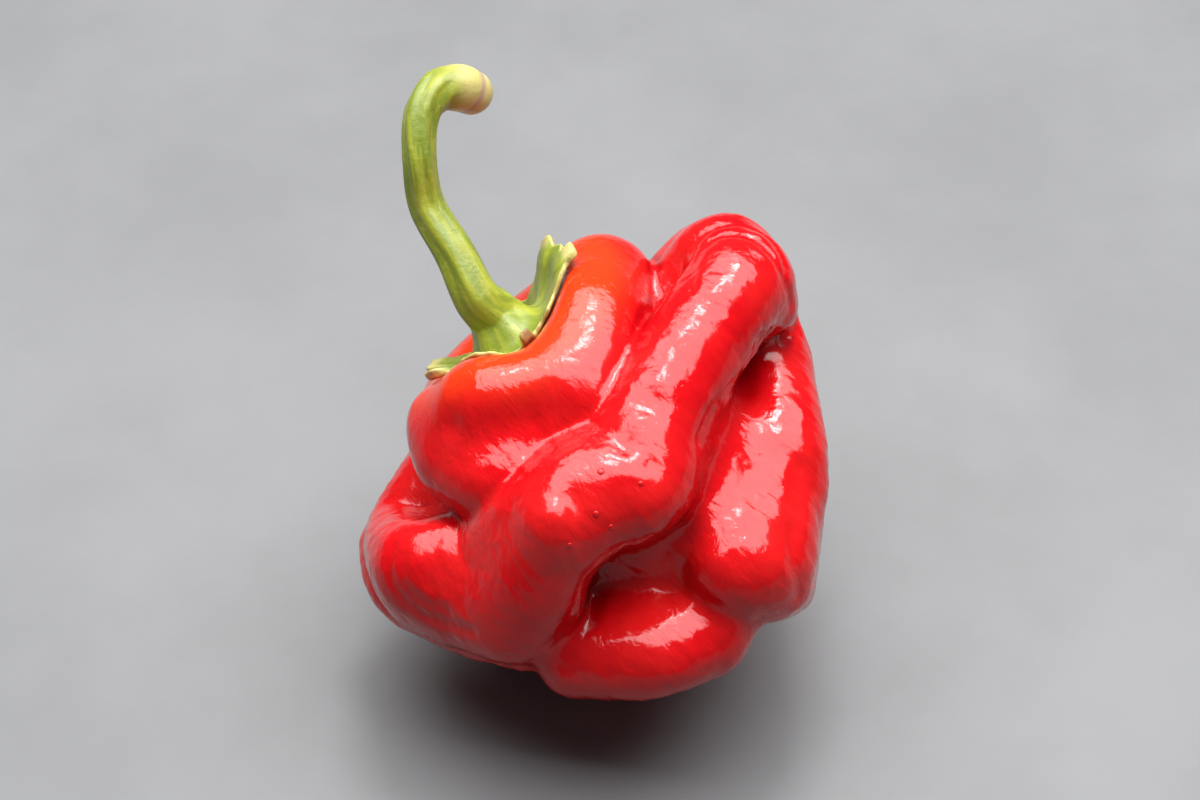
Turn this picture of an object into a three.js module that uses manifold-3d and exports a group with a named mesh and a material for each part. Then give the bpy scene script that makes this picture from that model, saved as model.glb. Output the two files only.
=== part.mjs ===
// A picked bonnet-shaped chilli pepper, lying on its side lobes.
// Millimetres, +Z up. The origin is the middle of the bounding box's underside.

import * as THREE from "three";
import { mergeVertices } from "three/addons/utils/BufferGeometryUtils.js";
import Module from "manifold-3d";

// Driving dimensions of the fruit's pose.
// The pod's own axis runs from the blossom end to the stalk.
const LEAN_DEG = 42.8; // tilt of that axis away from upright
const LEAN_BEARING_DEG = 150.4; // compass of the tilt, from +X towards +Y
const ROLL_DEG = 142.1; // turn of the pod about its own axis
const FLAT_DEPTH = 0.5; // how far the lowest lobes are pressed flat where they rest

// Driving dimensions of the stalk.
const STALK_GAP = 0.45; // clearance between the calyx and the skin
const CALYX_RADIUS = 7.0;
const CALYX_EDGE_THICKNESS = 0.7;
const CALYX_CENTRE_THICKNESS = 3.0;
const CALYX_SWELL_RADIUS = 3.2; // where the stem flares into the calyx
const STEM_RIBS = 6;
const STEM_RIB_DEPTH = 0.07; // as a share of the stem's radius
const STEM_TWIST_DEG = 70; // turn of the ribs from foot to tip

// Fineness of the surfaces.
const SKIN_CELL = 1.45; // edge of the grid that the skin is drawn from
const STEM_SIDES = 24;
const STEM_RINGS = 34;
const CALYX_SPOKES = 60;
const CALYX_RINGS = 9;

// The skin's folds. Each fold is a line of balls in the pod's own frame, and a ball is
// [azimuth in degrees, distance from the axis, height along the axis, radius].
// Azimuth 0 faces the front, 90 the upper right, 180 the back, -90 the lower left.
// The balls of the crown are measured from the crown's own axis.

// The brim goes right round: it starts at the finger (the tall fold, upper right), crosses
// the front as a thick ridge with a knob in its middle, ends at the left in a thumb, and
// comes back round behind.
const BRIM = [[85, 17.4, 5.3, 4.4], [62, 12.1, 4.3, 4.5], [24, 10.4, 3.1, 4.6], [2, 12.0, 1.9, 4.5],
  [-18, 12.1, 2.9, 4.8], [-39, 14.1, 4.0, 3.2], [-62, 14.9, 2.4, 3.5], [-71, 17.1, 3.2, 3.9],
  [-78, 19.4, 4.5, 3.7], [-104, 19.2, 4.5, 3.2], [-122, 14.0, 5.0, 4.2], [-160, 15.0, 3.5, 4.8],
  [162, 13.8, 2.6, 5.0], [128, 12.8, 3.4, 4.6], [106, 17.5, 6.5, 3.5]];
const BRIM_FLANKS = [
  // under the ridge and its knob
  [[23, 10.1, 0.6, 3.2], [1, 13.7, 0.1, 3.7], [-11, 14.1, 1.2, 3.5]],
  // the finger's nose
  [[89, 18.2, 3.7, 3.8], [88, 18.3, 1.5, 2.7]],
  // the knob's left end
  [[-23, 14.8, 2.7, 4.0], [-25, 16.8, 3.5, 2.9]],
];
const HOOD = [
  // thin fold that stands behind the finger like a hood
  [[105, 14.8, 6.9, 2.2], [99, 17.4, 8.1, 2.4], [97, 19.8, 7.1, 2.4], [97, 20.3, 4.1, 2.4],
   [98, 19.1, -0.1, 2.2], [100, 17.4, -3.8, 2.0]],
];
const CROWN = [
  // right and front shoulder
  [[108, 8.6, 11.1, 4.5], [62, 6.5, 11.1, 4.5], [21, 7.2, 9.2, 4.2], [4, 9.0, 8.2, 4.0]],
  // over the front
  [[21, 7.2, 9.2, 4.0], [-18, 8.8, 11.6, 3.5], [-39, 9.3, 12.5, 3.6]],
  // left shoulder
  [[-39, 9.2, 12.5, 3.6], [-68, 10.1, 12.3, 2.9]],
  // behind the stalk
  [[-70, 9.9, 12.1, 3.0], [-136, 9.2, 10.0, 3.8], [-180, 9.6, 9.4, 4.0], [153, 8.8, 10.2, 3.7],
   [112, 8.7, 11.0, 4.0]],
];
const CROWN_FACE = [
  [[-58, 12.1, 9.8, 4.0], [-41, 12.6, 7.2, 4.4], [-20, 8.9, 6.7, 4.2]],
];
const LOWER_LOBES = [
  // right bulge, upper fold
  [[55, 8.0, -6.2, 4.2], [21, 9.8, -8.3, 4.3], [10, 12.0, -10.6, 4.2]],
  // right bulge, middle fold
  [[61, 9.8, -7.7, 4.0], [36, 10.6, -10.2, 4.2], [18, 11.9, -12.3, 4.2]],
  // right bulge, lower fold
  [[101, 15.5, -4.5, 3.2], [83, 12.7, -6.6, 3.2], [57, 11.4, -9.4, 3.2], [34, 11.5, -12.5, 3.2],
   [21, 10.8, -14.8, 3.3]],
  // right edge
  [[92, 15.4, -5.5, 1.9], [75, 13.9, -7.7, 1.8], [62, 12.5, -10.7, 1.9], [46, 10.5, -14.3, 2.0],
   [29, 9.4, -16.8, 2.2]],
  // bottom lobe
  [[-55, 13.0, -9.5, 4.2], [-35, 11.6, -11.5, 4.0], [-16, 10.0, -14.4, 3.6]],
  // bottom lobe, outer fold
  [[-54, 16.0, -9.3, 3.7], [-33, 14.9, -12.1, 3.7], [-17, 12.1, -14.5, 3.3]],
  // left knob
  [[-32, 15.7, 1.2, 3.6], [-40, 16.3, 0.4, 4.0], [-56, 17.5, -2.7, 4.3]],
  // under the thumb
  [[-47, 15.9, -0.7, 4.2], [-66, 17.6, -0.7, 4.6], [-80, 19.5, 1.6, 4.0]],
];
const THUMB_RIM = [
  [[-104, 21.7, 4.6, 1.9], [-96, 22.7, 2.9, 1.7], [-89, 22.4, 0.7, 1.7], [-81, 21.0, -1.6, 1.8],
   [-72, 19.4, -4.0, 2.0], [-64, 17.8, -6.2, 2.2]],
];
const BACK_LOBES = [
  [[-78, 17.0, 0.0, 4.2], [-84, 15.0, -5.6, 4.4], [-100, 11.5, -11.0, 5.0]],
  [[-100, 13.0, 1.0, 5.0], [-107, 14.6, -6.2, 5.6], [-118, 10.0, -12.0, 5.4], [-130, 4.5, -14.5, 4.5]],
  [[-150, 12.5, 0.0, 5.6], [-163, 14.8, -5.6, 6.2], [-160, 9.5, -12.0, 5.6], [-140, 4.2, -15.2, 4.6]],
  [[170, 12.0, 0.0, 5.6], [155, 12.8, -6.0, 6.0], [152, 8.0, -12.0, 5.4]],
  [[108, 12.2, 4.2, 4.4], [116, 11.8, -1.0, 5.2], [108, 12.0, -6.0, 5.6], [95, 7.5, -12.0, 5.0]],
];

// The flesh behind the folds, as [height of the middle, radius across, half height].
const LOWER_FLESH = [-4.5, 12.2, 12.2];
const MIDDLE_FLESH = [3.0, 11.5, 6.0];
const CROWN_FLESH = [6.0, 11.0, 6.6];
const STALK_DIMPLE = [16.5, 6.0, 3.2];

// The crown, the stalk and the dimple under it have an axis of their own, set back from the pod's.
const CROWN_SET_BACK = [-2.4, 0, -0.8];

// How softly neighbouring folds run into each other, in mm.
const SOFT = { lower: 2.4, back: 2.6, lobes: 2.4, flesh: 2.2, middle: 3.0, flank: 2.0, brim: 2.2,
  hood: 1.0, hoodFoot: 1.2, brimFoot: 2.6, rim: 1.0, crown: 2.5, crownFlesh: 2.0, dimple: 2.0, crease: 1.8 };

// The stem's middle line in the crown's frame, as [azimuth, distance from axis, height, radius].
const STEM_LINE = [
  [-120, 1.0, 13.9, 2.5], [-150, 1.1, 15.6, 2.15], [-120, 0.9, 18.3, 1.85], [175, 1.8, 22.2, 1.65],
  [167, 3.7, 26.5, 1.5], [142, 4.5, 30.1, 1.4], [132, 7.0, 32.7, 1.5], [128, 9.6, 33.3, 1.75],
  [127, 11.6, 32.2, 2.05], [128, 12.6, 31.0, 1.95],
];

// The calyx's teeth, as [azimuth, reach beyond the calyx's edge, half width in degrees, lift].
const CALYX_TEETH = [
  [-116, 2.0, 15, 0.2], [-86, 1.6, 13, 0.3], [84, 1.6, 14, 0.5], [126, 2.0, 15, 0.9],
  [178, 1.0, 18, 0.3], [14, 0.7, 10, 0.2],
  [93, 0.1, 55, 0.9], // the edge stands up a little over the right shoulder
];
const CALYX_FRONT_NOTCH = [15, 2.4, 45]; // the edge draws in at the front: azimuth, depth, half width

const COLORS = { pod: 0xd8181c, stalk: 0x9db04a };

const radians = THREE.MathUtils.degToRad;

/** Turns [azimuth, distance from axis, height] into a point of the pod's frame. */
function podPoint([azimuth, distance, height]) {
  const angle = radians(azimuth);
  return new THREE.Vector3(distance * Math.cos(angle), distance * Math.sin(angle), height);
}

/** Smooth minimum: joins two fields with a fillet about k wide. */
function blend(a, b, k) {
  const h = Math.max(k - Math.abs(a - b), 0) / k;
  return Math.min(a, b) - (h * h * k) / 4;
}

/** The distance field of balls whose middle and radius run along a Catmull-Rom line. */
class Fold {
  static SAMPLES = 5; // starting guesses for each stretch between two balls
  static REACH = 6; // beyond this distance only the box is measured
  static POLISH = 2; // refinements of the nearest place on the line

  constructor(balls, closed = false) {
    const knots = balls.map((ball) => [...podPoint(ball).toArray(), ball[3]]);
    this.closed = closed;
    this.stretches = closed ? knots.length : knots.length - 1;
    const knot = (i) => {
      if (closed) return knots[(i + knots.length) % knots.length];
      if (i < 0) return knots[0].map((v, k) => 2 * v - knots[1][k]);
      if (i >= knots.length) return knots.at(-1).map((v, k) => 2 * v - knots.at(-2)[k]);
      return knots[i];
    };
    this.cubics = [];
    for (let i = 0; i < this.stretches; i++) {
      const [a, b, c, d] = [knot(i - 1), knot(i), knot(i + 1), knot(i + 2)];
      this.cubics.push(a.map((_, k) => [
        b[k],
        (c[k] - a[k]) / 2,
        a[k] - 2.5 * b[k] + 2 * c[k] - d[k] / 2,
        (3 * b[k] - a[k] - 3 * c[k] + d[k]) / 2,
      ]));
    }
    const count = this.stretches * Fold.SAMPLES + (closed ? 0 : 1);
    this.samples = Array.from({ length: count }, (_, i) => this.at(i / Fold.SAMPLES).point);
    this.low = [0, 1, 2].map((k) => Math.min(...this.samples.map((s) => s[k] - s[3])));
    this.high = [0, 1, 2].map((k) => Math.max(...this.samples.map((s) => s[k] + s[3])));
  }

  /** Point, first and second derivative of (x, y, z, radius) at a place on the line. */
  at(place) {
    const u = this.closed ? (place + this.stretches) % this.stretches : place;
    const i = Math.min(Math.floor(u), this.stretches - 1);
    const t = u - i;
    const point = this.cubics[i].map(([a, b, c, d]) => a + t * (b + t * (c + t * d)));
    const slope = this.cubics[i].map(([, b, c, d]) => b + t * (2 * c + 3 * t * d));
    const bend = this.cubics[i].map(([, , c, d]) => 2 * c + 6 * t * d);
    return { point, slope, bend };
  }

  distance(p) {
    const far = Math.hypot(...[0, 1, 2].map((k) => Math.max(this.low[k] - p[k], p[k] - this.high[k], 0)));
    if (far > Fold.REACH) return far + 3;
    let best = Infinity;
    let start = 0;
    this.samples.forEach((s, i) => {
      const d = Math.hypot(p[0] - s[0], p[1] - s[1], p[2] - s[2]) - s[3];
      if (d < best) {
        best = d;
        start = i / Fold.SAMPLES;
      }
    });
    const low = this.closed ? start - 1 / Fold.SAMPLES : Math.max(start - 1 / Fold.SAMPLES, 0);
    const high = this.closed ? start + 1 / Fold.SAMPLES : Math.min(start + 1 / Fold.SAMPLES, this.stretches);
    let place = start;
    for (let i = 0; i < Fold.POLISH; i++) {
      const { point, slope, bend } = this.at(place);
      const w = [0, 1, 2].map((k) => p[k] - point[k]);
      const length = Math.hypot(...w) + 1e-9;
      const dot = (u, v) => u[0] * v[0] + u[1] * v[1] + u[2] * v[2];
      const along = dot(w, slope);
      const first = -along / length - slope[3];
      const second = (dot(slope, slope) - dot(w, bend) - (along / length) ** 2) / length - bend[3];
      if (second < 0.3) break;
      place = Math.min(Math.max(place - first / second, low), high);
    }
    const { point } = this.at(place);
    return Math.min(best, Math.hypot(p[0] - point[0], p[1] - point[1], p[2] - point[2]) - point[3]);
  }
}

/** The distance field of an ellipsoid of revolution on the pod's axis. */
function fleshDistance([middle, across, half], p) {
  const h = p[2] - middle;
  const k0 = Math.hypot(p[0] / across, p[1] / across, h / half) + 1e-9;
  const k1 = Math.hypot(p[0] / across ** 2, p[1] / across ** 2, h / half ** 2) + 1e-9;
  return (k0 * (k0 - 1)) / k1;
}

const folds = {
  brim: new Fold(BRIM, true),
  flanks: BRIM_FLANKS.map((balls) => new Fold(balls)),
  hood: HOOD.map((balls) => new Fold(balls)),
  crown: CROWN.map((balls) => new Fold(balls)),
  crownFace: CROWN_FACE.map((balls) => new Fold(balls)),
  lower: LOWER_LOBES.map((balls) => new Fold(balls)),
  rim: THUMB_RIM.map((balls) => new Fold(balls)),
  back: BACK_LOBES.map((balls) => new Fold(balls)),
};

const joined = (group, p, k) => group.map((fold) => fold.distance(p)).reduce((a, b) => blend(a, b, k));

/** The skin of the pod: below zero inside the flesh, above zero outside. */
function podField(p) {
  let body = joined(folds.lower, p, SOFT.lower);
  body = blend(body, joined(folds.back, p, SOFT.back), SOFT.lobes);
  body = blend(body, fleshDistance(LOWER_FLESH, p), SOFT.flesh);
  body = blend(body, fleshDistance(MIDDLE_FLESH, p), SOFT.middle);
  let brim = blend(folds.brim.distance(p), joined(folds.flanks, p, SOFT.flank), SOFT.brim);
  brim = blend(brim, joined(folds.hood, p, SOFT.hood), SOFT.hoodFoot);
  brim = blend(brim, body, SOFT.brimFoot);
  brim = blend(brim, joined(folds.rim, p, SOFT.rim), SOFT.rim);
  const q = p.map((c, k) => c - CROWN_SET_BACK[k]);
  let crown = joined(folds.crown, q, SOFT.crown);
  crown = blend(crown, joined(folds.crownFace, q, SOFT.crown), SOFT.crown);
  crown = blend(crown, fleshDistance(CROWN_FLESH, q), SOFT.crownFlesh);
  crown = -blend(-crown, fleshDistance(STALK_DIMPLE, q), SOFT.dimple);
  return blend(brim, crown, SOFT.crease);
}

/** Outward slope of the skin's field. */
function podSlope(p, step = 0.05) {
  return [0, 1, 2].map((k) => {
    const ahead = [...p];
    const behind = [...p];
    ahead[k] += step;
    behind[k] -= step;
    return (podField(ahead) - podField(behind)) / (2 * step);
  });
}

// Three.js geometry with shared corners, from flat lists.
function shellGeometry(positions, triangles) {
  const geometry = new THREE.BufferGeometry();
  geometry.setAttribute("position", new THREE.Float32BufferAttribute(positions, 3));
  geometry.setIndex(triangles);
  return geometry;
}

/** A grid of field values round the pod, with a helper for each node's place. */
class SkinGrid {
  static LOW = [-26, -26, -24];
  static HIGH = [26, 26, 20];

  constructor(field, cell) {
    this.cell = cell;
    this.size = [0, 1, 2].map((k) => Math.ceil((SkinGrid.HIGH[k] - SkinGrid.LOW[k]) / cell) + 1);
    this.stride = [1, this.size[0], this.size[0] * this.size[1]];
    this.values = new Float64Array(this.size[0] * this.size[1] * this.size[2]);
    this.patched = new Uint8Array(this.values.length);
    this.forEach([0, 0, 0], (node, i, j, k) => {
      this.values[node] = field(this.place(i, j, k));
    });
  }

  place(i, j, k) {
    return [i, j, k].map((n, axis) => SkinGrid.LOW[axis] + n * this.cell);
  }

  /** Visits every node, or every cell when margin is 1 along an axis. */
  forEach(margin, visit) {
    for (let k = 0; k < this.size[2] - margin[2]; k++) {
      for (let j = 0; j < this.size[1] - margin[1]; j++) {
        for (let i = 0; i < this.size[0] - margin[0]; i++) {
          visit(i * this.stride[0] + j * this.stride[1] + k * this.stride[2], i, j, k);
        }
      }
    }
  }

  inside(node) {
    return this.values[node] < 0;
  }

  fill(node) {
    this.values[node] = -0.1 * this.cell;
    this.patched[node] = 1;
  }

  /** Fills pockets that the outside air doesn't reach. */
  fillPockets() {
    const reached = new Uint8Array(this.values.length);
    const queue = [0];
    reached[0] = 1;
    while (queue.length) {
      const node = queue.pop();
      for (const step of this.stride) {
        for (const next of [node - step, node + step]) {
          if (next < 0 || next >= this.values.length || reached[next] || this.inside(next)) continue;
          reached[next] = 1;
          queue.push(next);
        }
      }
    }
    this.forEach([0, 0, 0], (node) => {
      if (!reached[node] && !this.inside(node)) this.fill(node);
    });
  }

  /** Fills nodes until flesh never meets flesh along a bare edge or corner, so the skin is one clean shell. */
  closeBareContacts() {
    let changed = true;
    while (changed) {
      changed = false;
      const fillLower = (a, b) => {
        this.fill(this.values[a] < this.values[b] ? a : b);
        changed = true;
      };
      for (const [u, v] of [[0, 1], [0, 2], [1, 2]]) {
        const margin = [0, 0, 0];
        margin[u] = 1;
        margin[v] = 1;
        const [du, dv] = [this.stride[u], this.stride[v]];
        this.forEach(margin, (node) => {
          const [a, b, c, d] = [node, node + du, node + dv, node + du + dv];
          const state = [a, b, c, d].map((n) => this.inside(n));
          if (state[0] !== state[3] || state[1] !== state[2] || state[0] === state[1]) return;
          if (state[0]) fillLower(b, c);
          else fillLower(a, d);
        });
      }
      const [dx, dy, dz] = this.stride;
      const corners = [0, dx, dy, dx + dy, dz, dx + dz, dy + dz, dx + dy + dz];
      this.forEach([1, 1, 1], (node) => {
        const count = corners.filter((c) => this.inside(node + c)).length;
        if (count !== 2 && count !== 6) return;
        for (let c = 0; c < 4; c++) {
          const [near, far] = [node + corners[c], node + corners[7 - c]];
          if (this.inside(near) !== this.inside(far) || this.inside(near) !== (count === 2)) continue;
          if (count === 6) fillLower(near, far);
          else fillLower(node + corners[c ^ 1], node + corners[c ^ 2]);
        }
      });
    }
  }
}

/** Draws the skin where the field is at the level: one corner in each crossed cell, one face at each crossed edge. */
function drawSkin(level, cell) {
  const grid = new SkinGrid((p) => podField(p) - level, cell);
  grid.fillPockets();
  grid.closeBareContacts();
  const [dx, dy, dz] = grid.stride;
  const corners = [0, dx, dy, dx + dy, dz, dx + dz, dy + dz, dx + dy + dz];
  const edges = [[0, 1], [2, 3], [4, 5], [6, 7], [0, 2], [1, 3], [4, 6], [5, 7], [0, 4], [1, 5], [2, 6], [3, 7]];
  const vertexOf = new Int32Array(grid.values.length).fill(-1);
  const points = [];
  const held = [];
  grid.forEach([1, 1, 1], (node, i, j, k) => {
    const sum = [0, 0, 0];
    let count = 0;
    for (const [a, b] of edges) {
      const [va, vb] = [grid.values[node + corners[a]], grid.values[node + corners[b]]];
      if (va < 0 === vb < 0) continue;
      const t = va / (va - vb);
      for (let axis = 0; axis < 3; axis++) {
        const [sa, sb] = [(a >> axis) & 1, (b >> axis) & 1];
        sum[axis] += sa + t * (sb - sa);
      }
      count++;
    }
    if (!count) return;
    vertexOf[node] = points.length;
    held.push(corners.some((c) => grid.patched[node + c]));
    points.push(grid.place(i, j, k).map((low, axis) => low + (sum[axis] / count) * cell));
  });
  const quads = [];
  const steps = [dx, dy, dz];
  for (let axis = 0; axis < 3; axis++) {
    const [u, v] = [steps[(axis + 1) % 3], steps[(axis + 2) % 3]];
    const margin = [0, 0, 0];
    margin[axis] = 1;
    grid.forEach(margin, (node) => {
      if (grid.inside(node) === grid.inside(node + steps[axis])) return;
      const quad = [node - u - v, node - v, node, node - u].map((n) => vertexOf[n]);
      quads.push(grid.inside(node) ? quad : quad.reverse());
    });
  }
  return { points, quads, held };
}

/** Evens out the corners along the skin, pulls them back onto the level, and opens pinched valleys. */
class SkinRelaxer {
  static SPREAD = 0.5; // share of the way to the neighbours' mean
  static PULL = 0.9; // share of the way back to the level
  static REACH = 0.35; // longest pull, in cells
  static PINCH = 0.25; // depth in cells from which a valley counts as pinched
  static OPENING = 0.7; // share of a pinched corner's way to the neighbours' mean

  constructor({ points, quads, held }, level, cell) {
    Object.assign(this, { points, held, level, cell });
    this.neighbours = points.map(() => new Set());
    for (const quad of quads) {
      quad.forEach((v, i) => {
        this.neighbours[v].add(quad[(i + 1) % 4]);
        this.neighbours[v].add(quad[(i + 3) % 4]);
      });
    }
  }

  drift(p, v) {
    const mean = [0, 0, 0];
    for (const n of this.neighbours[v]) {
      this.points[n].forEach((c, k) => {
        mean[k] += c / this.neighbours[v].size;
      });
    }
    return mean.map((c, k) => c - p[k]);
  }

  smooth() {
    this.points = this.points.map((p, v) => {
      const drift = this.drift(p, v).map((c) => c * SkinRelaxer.SPREAD);
      if (this.held[v]) return p.map((c, k) => c + drift[k]);
      const slope = podSlope(p);
      const steep = Math.max(slope.reduce((s, c) => s + c * c, 0), 0.25);
      const across = slope.reduce((s, c, k) => s + c * drift[k], 0) / steep;
      const moved = p.map((c, k) => c + drift[k] - across * slope[k]);
      const reach = SkinRelaxer.REACH * this.cell;
      const off = ((podField(moved) - this.level) / steep) * SkinRelaxer.PULL;
      const back = THREE.MathUtils.clamp(off, -reach, reach);
      return moved.map((c, k) => c - back * slope[k]);
    });
  }

  openValleys() {
    this.points = this.points.map((p, v) => {
      const drift = this.drift(p, v);
      const slope = podSlope(p);
      const rise = slope.reduce((s, c, k) => s + c * drift[k], 0) / Math.max(Math.hypot(...slope), 0.2);
      const share = this.held[v] || rise > SkinRelaxer.PINCH * this.cell ? SkinRelaxer.OPENING : 0;
      return p.map((c, k) => c + share * drift[k]);
    });
  }
}

/** The closed skin of the pod at a level of its field, as a geometry in the pod's frame. */
function skinGeometry(level, cell, smoothings, openings) {
  const skin = drawSkin(level, cell);
  const relaxer = new SkinRelaxer(skin, level, cell);
  for (let i = 0; i < smoothings; i++) relaxer.smooth();
  for (let i = 0; i < openings; i++) relaxer.openValleys();
  const { points } = relaxer;
  const gap = (a, b) => Math.hypot(...points[a].map((c, k) => c - points[b][k]));
  const triangles = skin.quads.flatMap(([a, b, c, d]) => (
    gap(a, c) < gap(b, d) ? [a, b, c, a, c, d] : [a, b, d, b, c, d]
  ));
  return shellGeometry(points.flat(), triangles);
}

/** Height over the crown's own frame, along its axis, where the stalk's clearance from the skin is reached. */
function calyxSeat(azimuth, distance) {
  const start = 22;
  const close = 0.003;
  const steps = 80;
  const stride = 0.8; // share of the spare height taken at each step
  let height = start;
  for (let i = 0; i < steps; i++) {
    const place = podPoint([azimuth, distance, height]).toArray().map((c, k) => c + CROWN_SET_BACK[k]);
    const spare = podField(place) - STALK_GAP;
    if (spare < close) break;
    height -= spare * stride;
  }
  return height;
}

/** Share of a tooth at an azimuth: 1 at its tip, 0 from its half width on. */
function toothShare(azimuth, middle, halfWidth) {
  const turn = Math.abs(((azimuth - middle + 540) % 360) - 180);
  return Math.max(0, 1 - turn / halfWidth);
}

/** The calyx: a thin saucer with small teeth that follows the crown's dimple. */
function calyxGeometry() {
  const under = [];
  const over = [];
  const [notch, notchDepth, notchWidth] = CALYX_FRONT_NOTCH;
  for (let i = 0; i < CALYX_SPOKES; i++) {
    const azimuth = (360 * i) / CALYX_SPOKES - 180;
    let edge = CALYX_RADIUS - notchDepth * toothShare(azimuth, notch, notchWidth) ** 0.7;
    let lift = 0;
    for (const [middle, reach, halfWidth, rise] of CALYX_TEETH) {
      const share = toothShare(azimuth, middle, halfWidth);
      edge += reach * share;
      lift += rise * share;
    }
    for (let j = 1; j <= CALYX_RINGS; j++) {
      const distance = (edge * j) / CALYX_RINGS;
      const seat = calyxSeat(azimuth, distance) + lift * (j / CALYX_RINGS) ** 3;
      const swell = Math.exp(-((distance / CALYX_SWELL_RADIUS) ** 2));
      const thickness = CALYX_EDGE_THICKNESS + (CALYX_CENTRE_THICKNESS - CALYX_EDGE_THICKNESS) * swell;
      under.push(podPoint([azimuth, distance, seat]));
      over.push(podPoint([azimuth, distance, seat + thickness]));
    }
  }
  const seat = calyxSeat(0, 0);
  const points = [...under, new THREE.Vector3(0, 0, seat), ...over,
    new THREE.Vector3(0, 0, seat + CALYX_CENTRE_THICKNESS)];
  const triangles = [];
  const layer = under.length + 1;
  for (let i = 0; i < CALYX_SPOKES; i++) {
    const here = i * CALYX_RINGS;
    const next = ((i + 1) % CALYX_SPOKES) * CALYX_RINGS;
    triangles.push(layer - 1, next, here);
    triangles.push(2 * layer - 1, layer + here, layer + next);
    for (let j = 0; j < CALYX_RINGS - 1; j++) {
      const [a, b, c, d] = [here + j, here + j + 1, next + j + 1, next + j];
      triangles.push(a, c, b, a, d, c);
      triangles.push(layer + a, layer + b, layer + c, layer + a, layer + c, layer + d);
    }
    const [a, b] = [here + CALYX_RINGS - 1, next + CALYX_RINGS - 1];
    triangles.push(a, b, layer + b, a, layer + b, layer + a);
  }
  return shellGeometry(points.flatMap((p) => p.toArray()), triangles);
}

/** The stem: ribbed rings along its bent middle line, closed by a flat foot and a domed cut end. */
function stemGeometry() {
  const line = new Fold(STEM_LINE);
  const points = [];
  const triangles = [];
  let side = new THREE.Vector3(1, 0, 0);
  const domes = [[0.86, 0.3], [0.5, 0.5]]; // the cut end's rings: share of the radius, rise as a share
  const addRing = (centre, forward, radius, twist, ribDepth) => {
    side = side.clone().addScaledVector(forward, -side.dot(forward)).normalize();
    const up = forward.clone().cross(side);
    for (let i = 0; i < STEM_SIDES; i++) {
      const angle = (2 * Math.PI * i) / STEM_SIDES;
      const r = radius * (1 + ribDepth * Math.cos(STEM_RIBS * angle + twist));
      points.push(centre.clone().addScaledVector(side, r * Math.cos(angle)).addScaledVector(up, r * Math.sin(angle)));
    }
  };
  let tip = null;
  for (let j = 0; j < STEM_RINGS; j++) {
    const share = j / (STEM_RINGS - 1);
    const { point, slope } = line.at(share * line.stretches);
    const centre = new THREE.Vector3(...point);
    const forward = new THREE.Vector3(...slope).normalize();
    const ribDepth = STEM_RIB_DEPTH * (1 - share ** 4);
    addRing(centre, forward, point[3], radians(STEM_TWIST_DEG) * share * STEM_RIBS, ribDepth);
    tip = { centre, forward, radius: point[3] };
  }
  for (const [share, rise] of domes) {
    addRing(tip.centre.clone().addScaledVector(tip.forward, rise * tip.radius), tip.forward, share * tip.radius, 0, 0);
  }
  const rings = STEM_RINGS + domes.length;
  const foot = points.length;
  points.push(new THREE.Vector3(...line.at(0).point), tip.centre.clone().addScaledVector(tip.forward, 0.55 * tip.radius));
  for (let i = 0; i < STEM_SIDES; i++) {
    const next = (i + 1) % STEM_SIDES;
    triangles.push(foot, next, i);
    const last = (rings - 1) * STEM_SIDES;
    triangles.push(foot + 1, last + i, last + next);
    for (let j = 0; j < rings - 1; j++) {
      const [a, b, c, d] = [i, next, next + STEM_SIDES, i + STEM_SIDES].map((v) => v + j * STEM_SIDES);
      triangles.push(a, b, c, a, c, d);
    }
  }
  return shellGeometry(points.flatMap((p) => p.toArray()), triangles);
}

const wasm = await Module();
wasm.setup();

/** A solid for cutting and joining, from a closed geometry. */
function toSolid(geometry) {
  const bare = geometry.clone();
  bare.deleteAttribute("normal");
  bare.deleteAttribute("uv");
  const merged = mergeVertices(bare);
  return new wasm.Manifold(new wasm.Mesh({
    numProp: 3,
    vertProperties: Float32Array.from(merged.attributes.position.array),
    triVerts: Uint32Array.from(merged.index.array),
  }));
}

/** The geometry of a solid. */
function toGeometry(solid) {
  const { vertProperties, triVerts } = solid.getMesh();
  const geometry = shellGeometry(vertProperties, Array.from(triVerts));
  geometry.computeVertexNormals();
  return geometry;
}

/** The turn from the pod's own frame to the way that it lies. */
function restTurn() {
  const axis = (x, y, z, degrees) => new THREE.Quaternion().setFromAxisAngle(new THREE.Vector3(x, y, z), radians(degrees));
  return axis(0, 0, 1, LEAN_BEARING_DEG)
    .multiply(axis(0, 1, 0, LEAN_DEG))
    .multiply(axis(0, 0, 1, ROLL_DEG));
}

/** The pod, turned to its rest and pressed flat under its lowest lobes. */
function podGeometry() {
  const smoothings = 6;
  const openings = 5;
  const geometry = skinGeometry(0, SKIN_CELL, smoothings, openings).applyQuaternion(restTurn());
  geometry.computeBoundingBox();
  const block = 100;
  const keep = new THREE.BoxGeometry(block, block, block);
  keep.translate(0, 0, geometry.boundingBox.min.z + FLAT_DEPTH + block / 2);
  return toGeometry(toSolid(geometry).intersect(toSolid(keep)));
}

/** Stem and calyx, grown together. */
function stalkGeometry() {
  const solid = toSolid(calyxGeometry()).add(toSolid(stemGeometry()));
  return toGeometry(solid).translate(...CROWN_SET_BACK).applyQuaternion(restTurn());
}

function namedMesh(name, geometry, roughness) {
  const material = new THREE.MeshStandardMaterial({ color: COLORS[name], roughness, metalness: 0 });
  const mesh = new THREE.Mesh(geometry, material);
  mesh.name = name;
  return mesh;
}

const pepper = new THREE.Group();
pepper.add(namedMesh("pod", podGeometry(), 0.25));
pepper.add(namedMesh("stalk", stalkGeometry(), 0.5));

// The origin goes to the middle of the underside of the bounding box.
const bounds = new THREE.Box3().setFromObject(pepper);
const centre = bounds.getCenter(new THREE.Vector3());
pepper.position.set(-centre.x, -centre.y, -bounds.min.z);

export default pepper;
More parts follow.
